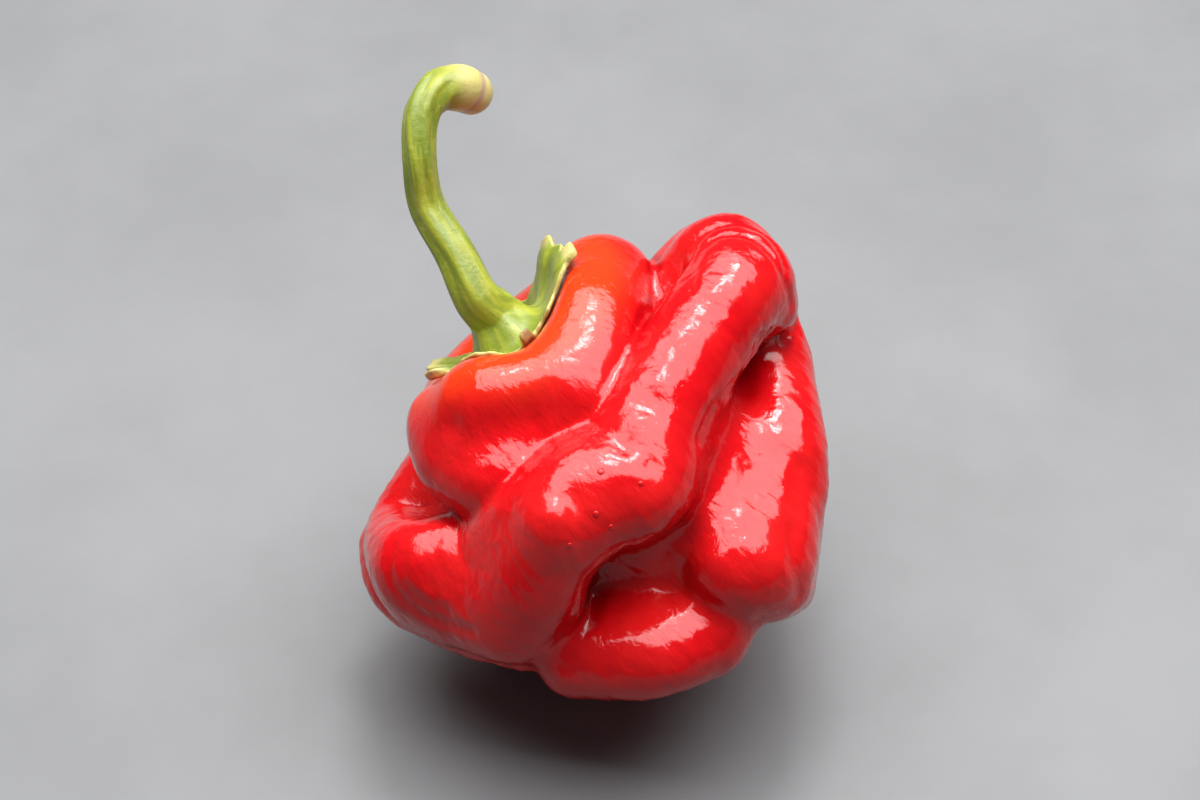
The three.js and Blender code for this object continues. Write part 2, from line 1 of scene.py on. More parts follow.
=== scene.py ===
"""Looks of a bonnet-shaped chilli pepper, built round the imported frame."""

import logging
import math
from abc import ABC, abstractmethod
from dataclasses import dataclass
from enum import Enum
from functools import reduce

import bpy
import numpy as np
from mathutils import Matrix, Vector


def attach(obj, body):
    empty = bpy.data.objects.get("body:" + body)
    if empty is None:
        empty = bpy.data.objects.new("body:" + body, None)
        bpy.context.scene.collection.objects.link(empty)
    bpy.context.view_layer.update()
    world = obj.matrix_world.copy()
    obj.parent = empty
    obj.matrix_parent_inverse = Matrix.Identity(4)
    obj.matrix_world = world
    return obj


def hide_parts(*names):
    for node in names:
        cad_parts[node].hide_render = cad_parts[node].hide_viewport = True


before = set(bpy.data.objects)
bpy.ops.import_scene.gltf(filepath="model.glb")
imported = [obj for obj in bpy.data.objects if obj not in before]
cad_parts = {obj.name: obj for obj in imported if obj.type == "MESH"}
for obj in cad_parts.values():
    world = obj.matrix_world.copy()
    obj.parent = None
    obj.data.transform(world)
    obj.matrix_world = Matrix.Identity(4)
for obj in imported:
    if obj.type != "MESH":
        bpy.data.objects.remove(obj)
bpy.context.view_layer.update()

MM = 0.001
TINY = 1e-9
CORNERS = [(i, j, k) for i in (0, 1) for j in (0, 1) for k in (0, 1)]
Socket = bpy.types.NodeSocket
log = logging.getLogger("chilli")


class Node(Enum):
    """The solids that the pieces here replace."""

    POD = "pod"
    STALK = "stalk"


def hand_over(piece: bpy.types.Object, node: Node) -> None:
    """Puts a piece in the place of its solid.

    Args:
        piece: the finished object.
        node: the solid that it replaces.
    """
    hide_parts(node.value)
    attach(piece, "root")
    log.info("%s: %d faces", node.value, len(piece.data.polygons))


def smooth_min(a: np.ndarray, b: np.ndarray, k: float) -> np.ndarray:
    """Joins two distance fields with a fillet about k wide.

    Args:
        a: first field, in mm.
        b: second field, in mm.
        k: width of the fillet, in mm.

    Returns:
        The joined field.
    """
    h = np.maximum(k - np.abs(a - b), 0.0) / k
    return np.minimum(a, b) - h * h * k / 4


def smooth_max(a: np.ndarray, b: np.ndarray, k: float) -> np.ndarray:
    """The overlap of two distance fields, with its edge rounded over k."""
    return -smooth_min(-a, -b, k)


def ease(values: np.ndarray, low: float, high: float) -> np.ndarray:
    """A smooth step from 0 at low to 1 at high."""
    t = np.clip((values - low) / (high - low), 0, 1)
    return t * t * (3 - 2 * t)


def pod_point(azimuth: float, distance: float, height: float) -> np.ndarray:
    """A point in the pod's own frame, in mm, from azimuth, distance from the axis and height."""
    turn = math.radians(azimuth)
    return np.array([distance * math.cos(turn), distance * math.sin(turn), height])


def azimuth_of(points: np.ndarray) -> np.ndarray:
    """Azimuth of each point, in degrees."""
    return np.degrees(np.arctan2(points[:, 1], points[:, 0]))


def distance_out(points: np.ndarray) -> np.ndarray:
    """Distance of each point from the axis."""
    return np.hypot(points[:, 0], points[:, 1])


def unit(rows: np.ndarray) -> np.ndarray:
    """Each row at length 1."""
    return rows / np.linalg.norm(rows, axis=1)[:, None]


class Fold:
    """Distance to a line of balls whose middle and radius run along a Catmull-Rom curve.

    The nearest place is guessed from SAMPLES places to a ball, and polished POLISH times where the distance
    bends by MIN_BEND. Past REACH mm from the fold's box the distance is rough, with BEYOND added.
    """

    SAMPLES = 5
    POLISH = 2
    MIN_BEND = 0.3
    REACH = 6.0
    BEYOND = 3.0

    def __init__(self, balls: list[tuple[float, ...]], closed: bool = False) -> None:
        """Works out the curve.

        Args:
            balls: azimuth in degrees, distance from the axis, height and radius of each ball, in mm.
            closed: whether the line runs back to its first ball.
        """
        knots = np.array([[*pod_point(*ball[:3]), ball[3]] for ball in balls])
        self.closed = closed
        self.stretches = len(knots) if closed else len(knots) - 1
        if closed:
            before, after = knots[-1:], knots[:2]
        else:
            before, after = 2 * knots[:1] - knots[1:2], 2 * knots[-1:] - knots[-2:-1]
        line = np.vstack([before, knots, after])
        cubics = []
        for a, b, c, d in (line[i:i + 4] for i in range(self.stretches)):
            cubics.append([b, (c - a) / 2, a - 2.5 * b + 2 * c - d / 2, (3 * b - a - 3 * c + d) / 2])
        self.cubics = np.array(cubics)
        count = self.stretches * self.SAMPLES + (0 if closed else 1)
        self.places = np.arange(count) / self.SAMPLES
        self.samples = self.at(self.places)[0]
        self.low = (self.samples[:, :3] - self.samples[:, 3:]).min(0)
        self.high = (self.samples[:, :3] + self.samples[:, 3:]).max(0)

    def at(self, places: np.ndarray) -> tuple[np.ndarray, np.ndarray, np.ndarray]:
        """Point, slope and bend of the curve.

        Args:
            places: places along the line, counted in balls.

        Returns:
            Three arrays with x, y, z and radius in each row.
        """
        if self.closed:
            places = np.mod(places, self.stretches)
        i = np.clip(np.floor(places).astype(int), 0, self.stretches - 1)
        t = (places - i)[:, None]
        a, b, c, d = (self.cubics[i, k] for k in range(4))
        return a + t * (b + t * (c + t * d)), b + t * (2 * c + 3 * t * d), 2 * c + 6 * t * d

    def nearest(self, points: np.ndarray) -> tuple[np.ndarray, np.ndarray]:
        """Distance to the fold's skin, and the nearest place along its line.

        Args:
            points: rows of x, y, z in mm.

        Returns:
            The distances and the places.
        """
        best = np.full(len(points), np.inf)
        start = np.zeros(len(points))
        for place, sample in zip(self.places, self.samples):
            away = np.linalg.norm(points - sample[:3], axis=1) - sample[3]
            nearer = away < best
            best[nearer] = away[nearer]
            start[nearer] = place
        low, high = start - 1 / self.SAMPLES, start + 1 / self.SAMPLES
        if not self.closed:
            low, high = np.maximum(low, 0), np.minimum(high, self.stretches)
        place = start
        for _ in range(self.POLISH):
            at, slope, bend = self.at(place)
            away = points - at[:, :3]
            length = np.linalg.norm(away, axis=1) + TINY
            along = (away * slope[:, :3]).sum(1)
            first = -along / length - slope[:, 3]
            second = (slope[:, :3] ** 2).sum(1) - (away * bend[:, :3]).sum(1) - (along / length) ** 2
            second = second / length - bend[:, 3]
            step = np.where(second > self.MIN_BEND, -first / np.maximum(second, self.MIN_BEND), 0)
            place = np.clip(place + step, low, high)
        at = self.at(place)[0]
        polished = np.linalg.norm(points - at[:, :3], axis=1) - at[:, 3]
        return np.minimum(best, polished), place

    def distance(self, points: np.ndarray) -> np.ndarray:
        """Distance to the fold's skin, exact only near it.

        Args:
            points: rows of x, y, z in mm.

        Returns:
            Distances in mm, below zero inside.
        """
        gap = np.maximum(np.maximum(self.low - points, points - self.high), 0)
        far = np.linalg.norm(gap, axis=1)
        result = far + self.BEYOND
        near = far < self.REACH
        if near.any():
            result[near] = self.nearest(points[near])[0]
        return result


@dataclass(frozen=True)
class Flesh:
    """An ellipsoid of revolution on the pod's axis, in mm."""

    middle: float
    across: float
    half: float

    def distance(self, points: np.ndarray) -> np.ndarray:
        """Distance to the ellipsoid's skin, exact near it."""
        radii = np.array([self.across, self.across, self.half])
        q = (points - [0, 0, self.middle]) / radii
        size = np.linalg.norm(q, axis=1) + TINY
        return size * (size - 1) / (np.linalg.norm(q / radii, axis=1) + TINY)


@dataclass(frozen=True)
class Press:
    """A soft dent (depth above zero) or knob (below zero) in the skin, in mm."""

    azimuth: float
    distance: float
    height: float
    width: float
    depth: float

    def effect(self, points: np.ndarray) -> np.ndarray:
        """What the press adds to the skin's field."""
        away = ((points - pod_point(self.azimuth, self.distance, self.height)) ** 2).sum(1)
        return self.depth * np.exp(-away / self.width ** 2)


class Groove:
    """A soft furrow, or with a depth below zero a welt, along a line on the skin."""

    def __init__(self, depth: float, width: float, line: list[tuple[float, float, float]]) -> None:
        """Works out the line.

        Args:
            depth: depth of the furrow in mm.
            width: width of the furrow in mm.
            line: azimuth, distance from the axis and height of its points.
        """
        self.depth, self.width = depth, width
        self.line = Fold([(*point, 0.0) for point in line])

    def effect(self, points: np.ndarray) -> np.ndarray:
        """What the groove adds to the skin's field."""
        away = self.line.distance(points)
        return self.depth * np.exp(-(away / self.width) ** 2)


@dataclass(frozen=True)
class Fillets:
    """Widths of the fillets where the pod's folds run together, in mm.

    A group's own is between its folds, and its foot is where it grows out of the rest.
    """

    lower: float = 2.4
    back: float = 2.6
    back_foot: float = 2.4
    lower_flesh: float = 2.2
    middle_flesh: float = 3.0
    flanks: float = 2.0
    flank_foot: float = 2.2
    hood: float = 1.0
    hood_foot: float = 0.7
    brim_foot: float = 2.6
    rim: float = 1.0
    rim_foot: float = 0.8
    crown: float = 2.5
    crown_flesh: float = 2.0
    dimple: float = 2.0
    crease: float = 0.7


@dataclass
class PodForm:
    """The fruit's folds: each is a list of balls, as azimuth, distance from the axis, height, radius.

    The crown, its flesh and its dimple are moved by set_back. Presses and grooves work within press_reach of
    the skin.
    """

    brim: tuple = (
        (85, 17.4, 5.3, 4.4), (62, 12.1, 4.3, 4.5), (24, 10.4, 3.1, 4.6), (2, 12.0, 1.9, 4.5),
        (-18, 12.1, 2.9, 4.8), (-39, 14.1, 4.0, 3.2), (-62, 14.9, 2.4, 3.5), (-71, 17.1, 3.2, 3.9),
        (-78, 19.4, 4.5, 3.7), (-104, 19.2, 4.5, 3.2), (-122, 14.0, 5.0, 4.2), (-160, 15.0, 3.5, 4.8),
        (162, 13.8, 2.6, 5.0), (128, 12.8, 3.4, 4.6), (106, 17.5, 6.5, 3.5))
    flanks: tuple = (
        [(23, 10.1, 0.6, 3.2), (1, 13.7, 0.1, 3.7), (-11, 14.1, 1.2, 3.5)],
        [(89, 18.2, 3.7, 3.8), (88, 18.3, 1.5, 2.7)],
        [(-23, 14.8, 2.7, 4.0), (-25, 16.8, 3.5, 2.9)])
    hood: tuple = (
        [(105, 14.8, 6.9, 2.2), (99, 17.4, 8.1, 2.4), (97, 19.8, 7.1, 2.4), (97, 20.3, 4.1, 2.4),
         (98, 19.1, -0.1, 2.2), (100, 17.4, -3.8, 2.0)],)
    crown: tuple = (
        [(108, 8.6, 11.1, 4.5), (62, 6.5, 11.1, 4.5), (21, 7.2, 9.2, 4.2), (4, 9.0, 8.2, 4.0)],
        [(21, 7.2, 9.2, 4.0), (-18, 8.8, 11.6, 3.5), (-39, 9.3, 12.5, 3.6)],
        [(-39, 9.2, 12.5, 3.6), (-68, 10.1, 12.3, 2.9)],
        [(-70, 9.9, 12.1, 3.0), (-136, 9.2, 10.0, 3.8), (-180, 9.6, 9.4, 4.0), (153, 8.8, 10.2, 3.7),
         (112, 8.7, 11.0, 4.0)])
    crown_face: tuple = (
        [(-58, 12.1, 9.8, 4.0), (-41, 12.6, 7.2, 4.4), (-20, 8.9, 6.7, 4.2)],)
    lower: tuple = (
        [(55, 8.0, -6.2, 4.2), (21, 9.8, -8.3, 4.3), (10, 12.0, -10.6, 4.2)],
        [(61, 9.8, -7.7, 4.0), (36, 10.6, -10.2, 4.2), (18, 11.9, -12.3, 4.2)],
        [(101, 15.5, -4.5, 3.2), (83, 12.7, -6.6, 3.2), (57, 11.4, -9.4, 3.2), (34, 11.5, -12.5, 3.2),
         (21, 10.8, -14.8, 3.3)],
        [(92, 15.4, -5.5, 1.9), (75, 13.9, -7.7, 1.8), (62, 12.5, -10.7, 1.9), (46, 10.5, -14.3, 2.0),
         (29, 9.4, -16.8, 2.2)],
        [(-55, 13.0, -9.5, 4.2), (-35, 11.6, -11.5, 4.0), (-16, 10.0, -14.4, 3.6)],
        [(-54, 16.0, -9.3, 3.7), (-33, 14.9, -12.1, 3.7), (-17, 12.1, -14.5, 3.3)],
        [(91, 14.3, -4.3, 3.5), (69, 13.0, -7.5, 3.3), (60, 12.6, -10.0, 2.4)],
        [(-32, 15.7, 1.2, 3.6), (-40, 16.3, 0.4, 4.0), (-56, 17.5, -2.7, 4.3)],
        [(-47, 15.9, -0.7, 4.2), (-66, 17.6, -0.7, 4.6), (-80, 19.5, 1.6, 4.0)])
    rim: tuple = (
        [(-104, 21.7, 4.6, 1.9), (-96, 22.7, 2.9, 1.7), (-89, 22.4, 0.7, 1.7), (-81, 21.0, -1.6, 1.8),
         (-72, 19.4, -4.0, 2.0), (-64, 17.8, -6.2, 2.2)],)
    back: tuple = (
        [(-78, 17.0, 0.0, 4.2), (-84, 15.0, -5.6, 4.4), (-100, 11.5, -11.0, 5.0)],
        [(-100, 13.0, 1.0, 5.0), (-107, 14.6, -6.2, 5.6), (-118, 10.0, -12.0, 5.4), (-130, 4.5, -14.5, 4.5)],
        [(-150, 12.5, 0.0, 5.6), (-163, 14.8, -5.6, 6.2), (-160, 9.5, -12.0, 5.6), (-140, 4.2, -15.2, 4.6)],
        [(170, 12.0, 0.0, 5.6), (155, 12.8, -6.0, 6.0), (152, 8.0, -12.0, 5.4)],
        [(108, 12.2, 4.2, 4.4), (116, 11.8, -1.0, 5.2), (108, 12.0, -6.0, 5.6), (95, 7.5, -12.0, 5.0)])
    lower_flesh: Flesh = Flesh(-4.5, 12.2, 12.2)
    middle_flesh: Flesh = Flesh(3.0, 11.5, 6.0)
    crown_flesh: Flesh = Flesh(6.0, 11.0, 6.6)
    dimple: Flesh = Flesh(16.5, 6.0, 3.2)
    set_back: tuple = (-2.4, 0.0, -0.8)
    fillets: Fillets = Fillets()
    press_reach: float = 2.5
    presses: tuple = (
        Press(52, 14.7, 7.2, 1.5, -0.10), Press(45, 14.1, 7.0, 1.3, -0.06), Press(27, 13.8, 6.3, 1.2, -0.12),
        Press(13, 14.6, 5.4, 1.2, -0.10), Press(-5, 16.3, 5.0, 1.9, -0.10), Press(-12, 16.0, 6.2, 1.4, -0.08),
        Press(-19, 16.5, 6.5, 1.1, -0.10), Press(-20, 18.7, 5.0, 1.2, -0.15), Press(21, 14.2, 5.8, 1.4, 0.28),
        Press(5, 15.3, 5.0, 1.3, 0.34), Press(7, 16.8, 2.7, 0.8, 0.2), Press(-15, 17.8, 4.6, 1.2, 0.2),
        Press(73, 17.7, 8.8, 1.5, 0.12), Press(62, 14.5, -6.1, 0.9, 0.25), Press(90, 16.0, -1.7, 1.5, 0.12),
        Press(83, 14.8, -3.1, 1.3, -0.15), Press(75, 14.7, -4.4, 1.4, 0.12), Press(71, 12.7, -3.1, 1.8, 0.12),
        Press(57, 14.9, -8.1, 1.5, -0.10), Press(-18, 10.2, 10.5, 3.6, 0.35),
        Press(-58, 10.9, 14.3, 1.6, -0.12), Press(41, 15.1, 4.5, 1.5, 0.08), Press(19, 15.4, 3.3, 1.3, -0.10),
        Press(-38, 16.0, 6.7, 1.4, -0.12), Press(-63, 17.4, 6.3, 1.8, -0.12))
    grooves: tuple = (
        Groove(0.35, 0.45, [(67, 15.0, 8.9), (80, 15.8, 9.5), (85, 18.1, 9.7), (84, 20.3, 8.7),
                            (81, 21.5, 6.8), (78, 21.4, 4.4), (80, 20.3, 1.2)]),
        Groove(0.3, 0.4, [(75, 14.5, 9.3), (90, 16.3, 9.6), (91, 18.7, 9.9), (90, 21.0, 8.6),
                          (86, 22.0, 6.5), (80, 21.7, 4.0)]),
        Groove(0.4, 0.7, [(94, 20.0, -2.2), (91, 18.5, -2.0), (68, 17.4, 1.6)]),
        Groove(0.15, 0.7, [(67, 17.4, 1.7), (63, 15.6, 1.0), (56, 14.1, 0.4), (40, 14.4, 1.2),
                           (26, 14.5, 0.4)]),
        Groove(0.2, 0.8, [(50, 14.8, -8.6), (34, 15.4, -10.7), (23, 16.1, -12.5), (19, 15.0, -15.7)]),
        Groove(0.35, 1.1, [(-43, 9.5, 15.3), (-46, 10.6, 14.6), (-50, 11.6, 13.2)]),
        Groove(0.3, 0.6, [(-71, 20.5, 7.6), (-71, 22.2, 6.1), (-70, 22.8, 3.8), (-67, 22.4, 1.4),
                          (-57, 22.0, -0.6)]),
        Groove(0.2, 0.5, [(-68, 20.5, 6.8), (-68, 21.9, 5.4), (-67, 22.1, 3.5), (-62, 21.6, 1.4)]))

    def __post_init__(self) -> None:
        """Works out the folds' curves."""
        self.parts = {name: [Fold(balls) for balls in getattr(self, name)]
                      for name in ("flanks", "hood", "crown", "crown_face", "lower", "rim", "back")}
        self.ring = Fold(self.brim, closed=True)

    def joined(self, name: str, points: np.ndarray, k: float) -> np.ndarray:
        """One group of folds, run together with fillets about k wide."""
        distances = (part.distance(points) for part in self.parts[name])
        return reduce(lambda a, b: smooth_min(a, b, k), distances)

    def distance(self, points: np.ndarray) -> np.ndarray:
        """Distance to the pod's skin.

        Args:
            points: rows of x, y, z in the pod's frame, in mm.

        Returns:
            Distances in mm, below zero inside the flesh.
        """
        wide = self.fillets
        body = self.joined("lower", points, wide.lower)
        body = smooth_min(body, self.joined("back", points, wide.back), wide.back_foot)
        body = smooth_min(body, self.lower_flesh.distance(points), wide.lower_flesh)
        body = smooth_min(body, self.middle_flesh.distance(points), wide.middle_flesh)
        flanks = self.joined("flanks", points, wide.flanks)
        brim = smooth_min(self.ring.distance(points), flanks, wide.flank_foot)
        brim = smooth_min(brim, self.joined("hood", points, wide.hood), wide.hood_foot)
        brim = smooth_min(brim, body, wide.brim_foot)
        brim = smooth_min(brim, self.joined("rim", points, wide.rim), wide.rim_foot)
        own = points - np.array(self.set_back)
        crown = self.joined("crown", own, wide.crown)
        crown = smooth_min(crown, self.joined("crown_face", own, wide.crown), wide.crown)
        crown = smooth_min(crown, self.crown_flesh.distance(own), wide.crown_flesh)
        crown = smooth_max(crown, -self.dimple.distance(own), wide.dimple)
        skin = smooth_min(brim, crown, wide.crease)
        near = np.abs(skin) < self.press_reach
        for press in [*self.presses, *self.grooves]:
            skin[near] += press.effect(points[near])
        return skin


@dataclass
class StalkForm:
    """Stem and calyx, in mm in the crown's frame.

    A tooth is azimuth, reach past the radius, half width in degrees and rise above the skin, and one wider
    than broad only swells the edge. Ragged holds waves round the edge, as number, depth and start.
    """

    pod: PodForm
    line: tuple = (
        (-120, 1.0, 13.7, 2.9), (-150, 1.1, 15.6, 2.45), (-120, 0.9, 18.3, 2.05), (175, 1.8, 22.2, 1.75),
        (167, 3.7, 26.5, 1.55), (142, 4.5, 30.1, 1.4), (132, 7.0, 32.7, 1.5), (128, 9.6, 33.3, 1.75),
        (127, 11.6, 32.2, 2.05), (128, 12.6, 31.0, 1.95))
    gap: float = 0.12
    thickness: float = 0.42
    tooth_thickness: float = 0.45
    radius: float = 6.9
    fillet: float = 2.6
    teeth: tuple = ((-114, 1.7, 13, 0.2), (-84, 1.3, 11, 0.2), (103, 0.9, 46, 0.6), (80, 0.8, 11, 0.2),
                    (122, 0.9, 12, 0.4), (178, 0.9, 16, 0.4), (6, 0.9, 9, 0.15))
    bluntness: float = 1.8
    broad: float = 20.0
    ragged: tuple = ((11, 0.16, 0.4), (17, 0.12, 2.0), (29, 0.07, 1.1))
    notch_azimuth: float = 18.0
    notch_depth: float = 2.6
    notch_half: float = 50.0
    notch_power: float = 0.7
    rise_power: float = 3.0
    past_edge: float = 1.2
    lowest: float = 9.0
    edge_round: float = 0.3
    skin_round: float = 0.1

    def __post_init__(self) -> None:
        """Works out the stem's curve."""
        self.stem = Fold(self.line)

    @staticmethod
    def share(azimuth: np.ndarray, middle: float, half_width: float) -> np.ndarray:
        """1 at an azimuth's middle and 0 from the half width on, all in degrees."""
        turn = np.abs((azimuth - middle + 540) % 360 - 180)
        return np.maximum(0, 1 - turn / half_width)

    def outline(self, points: np.ndarray) -> tuple[np.ndarray, np.ndarray, np.ndarray]:
        """The calyx's edge and its teeth.

        Args:
            points: rows of x, y, z in the crown's frame, in mm.

        Returns:
            The edge's distance from the axis, the lift at the edge, both in mm, and the share of a tooth.
        """
        azimuth = azimuth_of(points)
        notch = self.share(azimuth, self.notch_azimuth, self.notch_half) ** self.notch_power
        edge = self.radius - self.notch_depth * notch
        for waves, depth, start in self.ragged:
            edge = edge + depth * np.sin(waves * np.radians(azimuth) + start)
        lift, share = np.zeros(len(points)), np.zeros(len(points))
        for middle, reach, half_width, rise in self.teeth:
            tooth = ease(np.minimum(1, self.bluntness * self.share(azimuth, middle, half_width)), 0, 1)
            edge = edge + reach * tooth
            lift = lift + rise * tooth
            if half_width < self.broad:
                share = np.maximum(share, tooth)
        return edge, lift, share

    def distance(self, points: np.ndarray) -> np.ndarray:
        """Distance to the stalk's skin.

        Args:
            points: rows of x, y, z in the pod's frame, in mm.

        Returns:
            Distances in mm, below zero inside.
        """
        own = points - np.array(self.pod.set_back)
        stem = self.stem.distance(own)
        foot = own[:, 2] < self.line[0][2]
        stem = np.where(foot, np.maximum(stem, self.line[0][2] - own[:, 2]), stem)
        above = self.pod.distance(points)
        edge, lift, tooth = self.outline(own)
        out = distance_out(own)
        near_edge = np.clip(out / edge, 0, self.past_edge) ** self.rise_power
        half = (self.thickness + self.tooth_thickness * tooth * near_edge) / 2
        leaf = np.abs(above - self.gap - half - lift * near_edge) - half
        leaf = smooth_max(leaf, out - edge, self.edge_round)
        leaf = np.maximum(leaf, self.lowest - own[:, 2])
        whole = smooth_min(stem, leaf, self.fillet)
        return smooth_max(whole, self.gap - above, self.skin_round)


class SkinMesher:
    """Draws the surface of a distance field as quads, and evens them out along it.

    COARSE cells make a cell of the first grid, and within NEAR of those each node is worked out, CHUNK at a
    time. A slope is taken over STEP mm, with its square FLATTEST at least. SPREAD is the share of the way to
    the neighbours' mean. Pinches are filled in REPAIRS rounds at most, each node BARE cells deep.
    """

    COARSE = 4
    NEAR = 1.4
    CHUNK = 200000
    SPREAD = 0.5
    STEP = 0.04
    FLATTEST = 0.25
    REPAIRS = 8
    BARE = 0.05

    def __init__(self, form: PodForm | StalkForm, low: tuple, high: tuple, cell: float) -> None:
        """Keeps the field and its box.

        Args:
            form: what gives the distance.
            low: lowest corner of the box, in mm.
            high: highest corner of the box, in mm.
            cell: edge of a cell, in mm.
        """
        self.form, self.cell = form, cell
        self.low = np.array(low, float)
        coarse_cells = np.ceil((np.array(high) - self.low) / cell / self.COARSE).astype(int)
        self.count = coarse_cells * self.COARSE + 1

    def sample(self) -> np.ndarray:
        """The field on the grid: worked out at each node near the skin, and interpolated far from it."""
        axes = [self.low[k] + self.cell * np.arange(self.count[k]) for k in range(3)]
        places = np.stack(np.meshgrid(*(axis[::self.COARSE] for axis in axes), indexing="ij"), -1)
        values = self.form.distance(places.reshape(-1, 3)).reshape(places.shape[:3])
        for axis in range(3):
            v = np.swapaxes(values, 0, axis)
            fine = np.empty(((len(v) - 1) * self.COARSE + 1, *v.shape[1:]))
            for k in range(self.COARSE):
                t = k / self.COARSE
                fine[k:-1:self.COARSE] = v[:-1] * (1 - t) + v[1:] * t
            fine[-1] = v[-1]
            values = np.swapaxes(fine, 0, axis)
        near = np.argwhere(np.abs(values) < self.NEAR * self.cell * self.COARSE)
        exact = [self.form.distance(self.low + part * self.cell)
                 for part in np.split(near, range(self.CHUNK, len(near), self.CHUNK))]
        values = values.copy()
        values[tuple(near.T)] = np.concatenate(exact)
        return values

    @staticmethod
    def corner_views(inside: np.ndarray) -> dict[tuple, np.ndarray]:
        """The grid's nodes as seen from each corner of its cells."""
        size = np.array(inside.shape) - 1
        return {corner: inside[tuple(slice(c, c + n) for c, n in zip(corner, size))] for corner in CORNERS}

    def fill_pinches(self, inside: np.ndarray) -> np.ndarray:
        """Fills each place where flesh meets itself along a bare edge or corner.

        Args:
            inside: whether each node of the grid is in the flesh.

        Returns:
            The same, with no cell that the surface would cross twice.
        """
        for _ in range(self.REPAIRS):
            before = inside.sum()
            for axis in range(3):
                layer = np.moveaxis(inside, axis, 0)
                a, b, c, d = layer[:, :-1, :-1], layer[:, 1:, 1:], layer[:, 1:, :-1], layer[:, :-1, 1:]
                crossed = (a == b) & (c == d) & (a != c)
                for corner in (a, b, c, d):
                    corner |= crossed
            parts = self.corner_views(inside)
            filled = sum(part.astype(np.int8) for part in parts.values())
            pinched = np.zeros(filled.shape, bool)
            for corner in CORNERS[:len(CORNERS) // 2]:
                pair = parts[corner] == parts[tuple(1 - c for c in corner)]
                lone = np.where(parts[corner], filled == 2, filled == len(CORNERS) - 2)
                pinched |= pair & lone
            for part in parts.values():
                part |= pinched
            if inside.sum() == before:
                break
        return inside

    def draw(self) -> tuple[np.ndarray, np.ndarray]:
        """One corner in each crossed cell and one face at each crossed edge.

        Returns:
            The corners in mm and the quads' corner numbers.
        """
        values = self.sample()
        inside = self.fill_pinches(values < 0)
        values = np.where(inside, np.minimum(values, -self.BARE * self.cell), np.maximum(values, 0))
        filled = sum(part.astype(np.int8) for part in self.corner_views(inside).values())
        cells = np.argwhere((filled > 0) & (filled < len(CORNERS)))
        number = np.full(filled.shape, -1)
        number[tuple(cells.T)] = np.arange(len(cells))
        place, hits = np.zeros((len(cells), 3)), np.zeros(len(cells))
        for corner in CORNERS:
            for axis in (k for k in range(3) if not corner[k]):
                other = [1 if k == axis else corner[k] for k in range(3)]
                va, vb = values[tuple((cells + corner).T)], values[tuple((cells + other).T)]
                cross = (va < 0) != (vb < 0)
                spot = np.tile(np.array(corner, float), (cross.sum(), 1))
                spot[:, axis] += va[cross] / (va[cross] - vb[cross])
                place[cross] += spot
                hits[cross] += 1
        quads = []
        for axis in range(3):
            u, v = (np.eye(3, dtype=int)[(axis + k) % 3] for k in (1, 2))
            layers = np.moveaxis(inside, axis, 0)
            edges = np.argwhere(np.moveaxis(layers[:-1] != layers[1:], 0, axis))
            quad = np.stack([number[tuple((edges - step).T)] for step in (u + v, v, 0 * u, u)], 1)
            hollow = ~inside[tuple(edges.T)]
            quad[hollow] = quad[hollow][:, ::-1]
            quads.append(quad)
        return self.low + (cells + place / hits[:, None]) * self.cell, np.concatenate(quads)

    def slope(self, points: np.ndarray, here: np.ndarray) -> np.ndarray:
        """Outward slope of the field at points whose own field is known."""
        rise = [self.form.distance(points + step) - here for step in np.eye(3) * self.STEP]
        return np.stack(rise, 1) / self.STEP

    def relax(self, points: np.ndarray, quads: np.ndarray, rounds: int) -> np.ndarray:
        """Moves corners to their neighbours' mean along the skin, and back onto it.

        Args:
            points: corners in mm.
            quads: faces.
            rounds: how often to repeat it.

        Returns:
            The moved corners.
        """
        for _ in range(rounds):
            here = self.form.distance(points)
            slope = self.slope(points, here)
            steep = np.maximum((slope ** 2).sum(1), self.FLATTEST)[:, None]
            drift = (neighbour_mean(points, quads) - points) * self.SPREAD
            drift -= slope * (slope * drift).sum(1)[:, None] / steep
            back = np.clip(here[:, None] / steep, -self.cell, self.cell)
            points = points + drift - slope * back
        return points


def neighbour_mean(values: np.ndarray, quads: np.ndarray) -> np.ndarray:
    """Mean of the values at each corner's neighbours.

    Args:
        values: one row for each corner.
        quads: corner numbers of each face.

    Returns:
        One row of means for each corner.
    """
    total, count = np.zeros_like(values), np.zeros(len(values))
    for k in range(4):
        a, b = quads[:, k], quads[:, (k + 1) % 4]
        for s, e in ((a, b), (b, a)):
            for column in range(values.shape[1]):
                total[:, column] += np.bincount(s, values[e, column], len(values))
            count += np.bincount(s, minlength=len(values))
    return total / np.maximum(count, 1)[:, None]


class Rest:
    """How the pod lies: its own frame turned and set down in the object's frame."""

    LEAN, BEARING, ROLL = 42.8, 150.4, 142.1
    MIDDLE = np.array([1.809, -1.556, 20.145])

    def __init__(self) -> None:
        """Works out the turn."""
        turns = ((self.BEARING, "Z"), (self.LEAN, "Y"), (self.ROLL, "Z"))
        matrices = (Matrix.Rotation(math.radians(degrees), 3, axis) for degrees, axis in turns)
        self.turn = np.array(reduce(lambda a, b: a @ b, matrices))

    def place(self, points: np.ndarray) -> np.ndarray:
        """Points of the pod's frame, put where they rest, in mm."""
        return points @ self.turn.T + self.MIDDLE

    def height(self, points: np.ndarray) -> np.ndarray:
        """Height above the surface of points in the pod's frame, in mm."""
        return points @ self.turn[2] + self.MIDDLE[2]


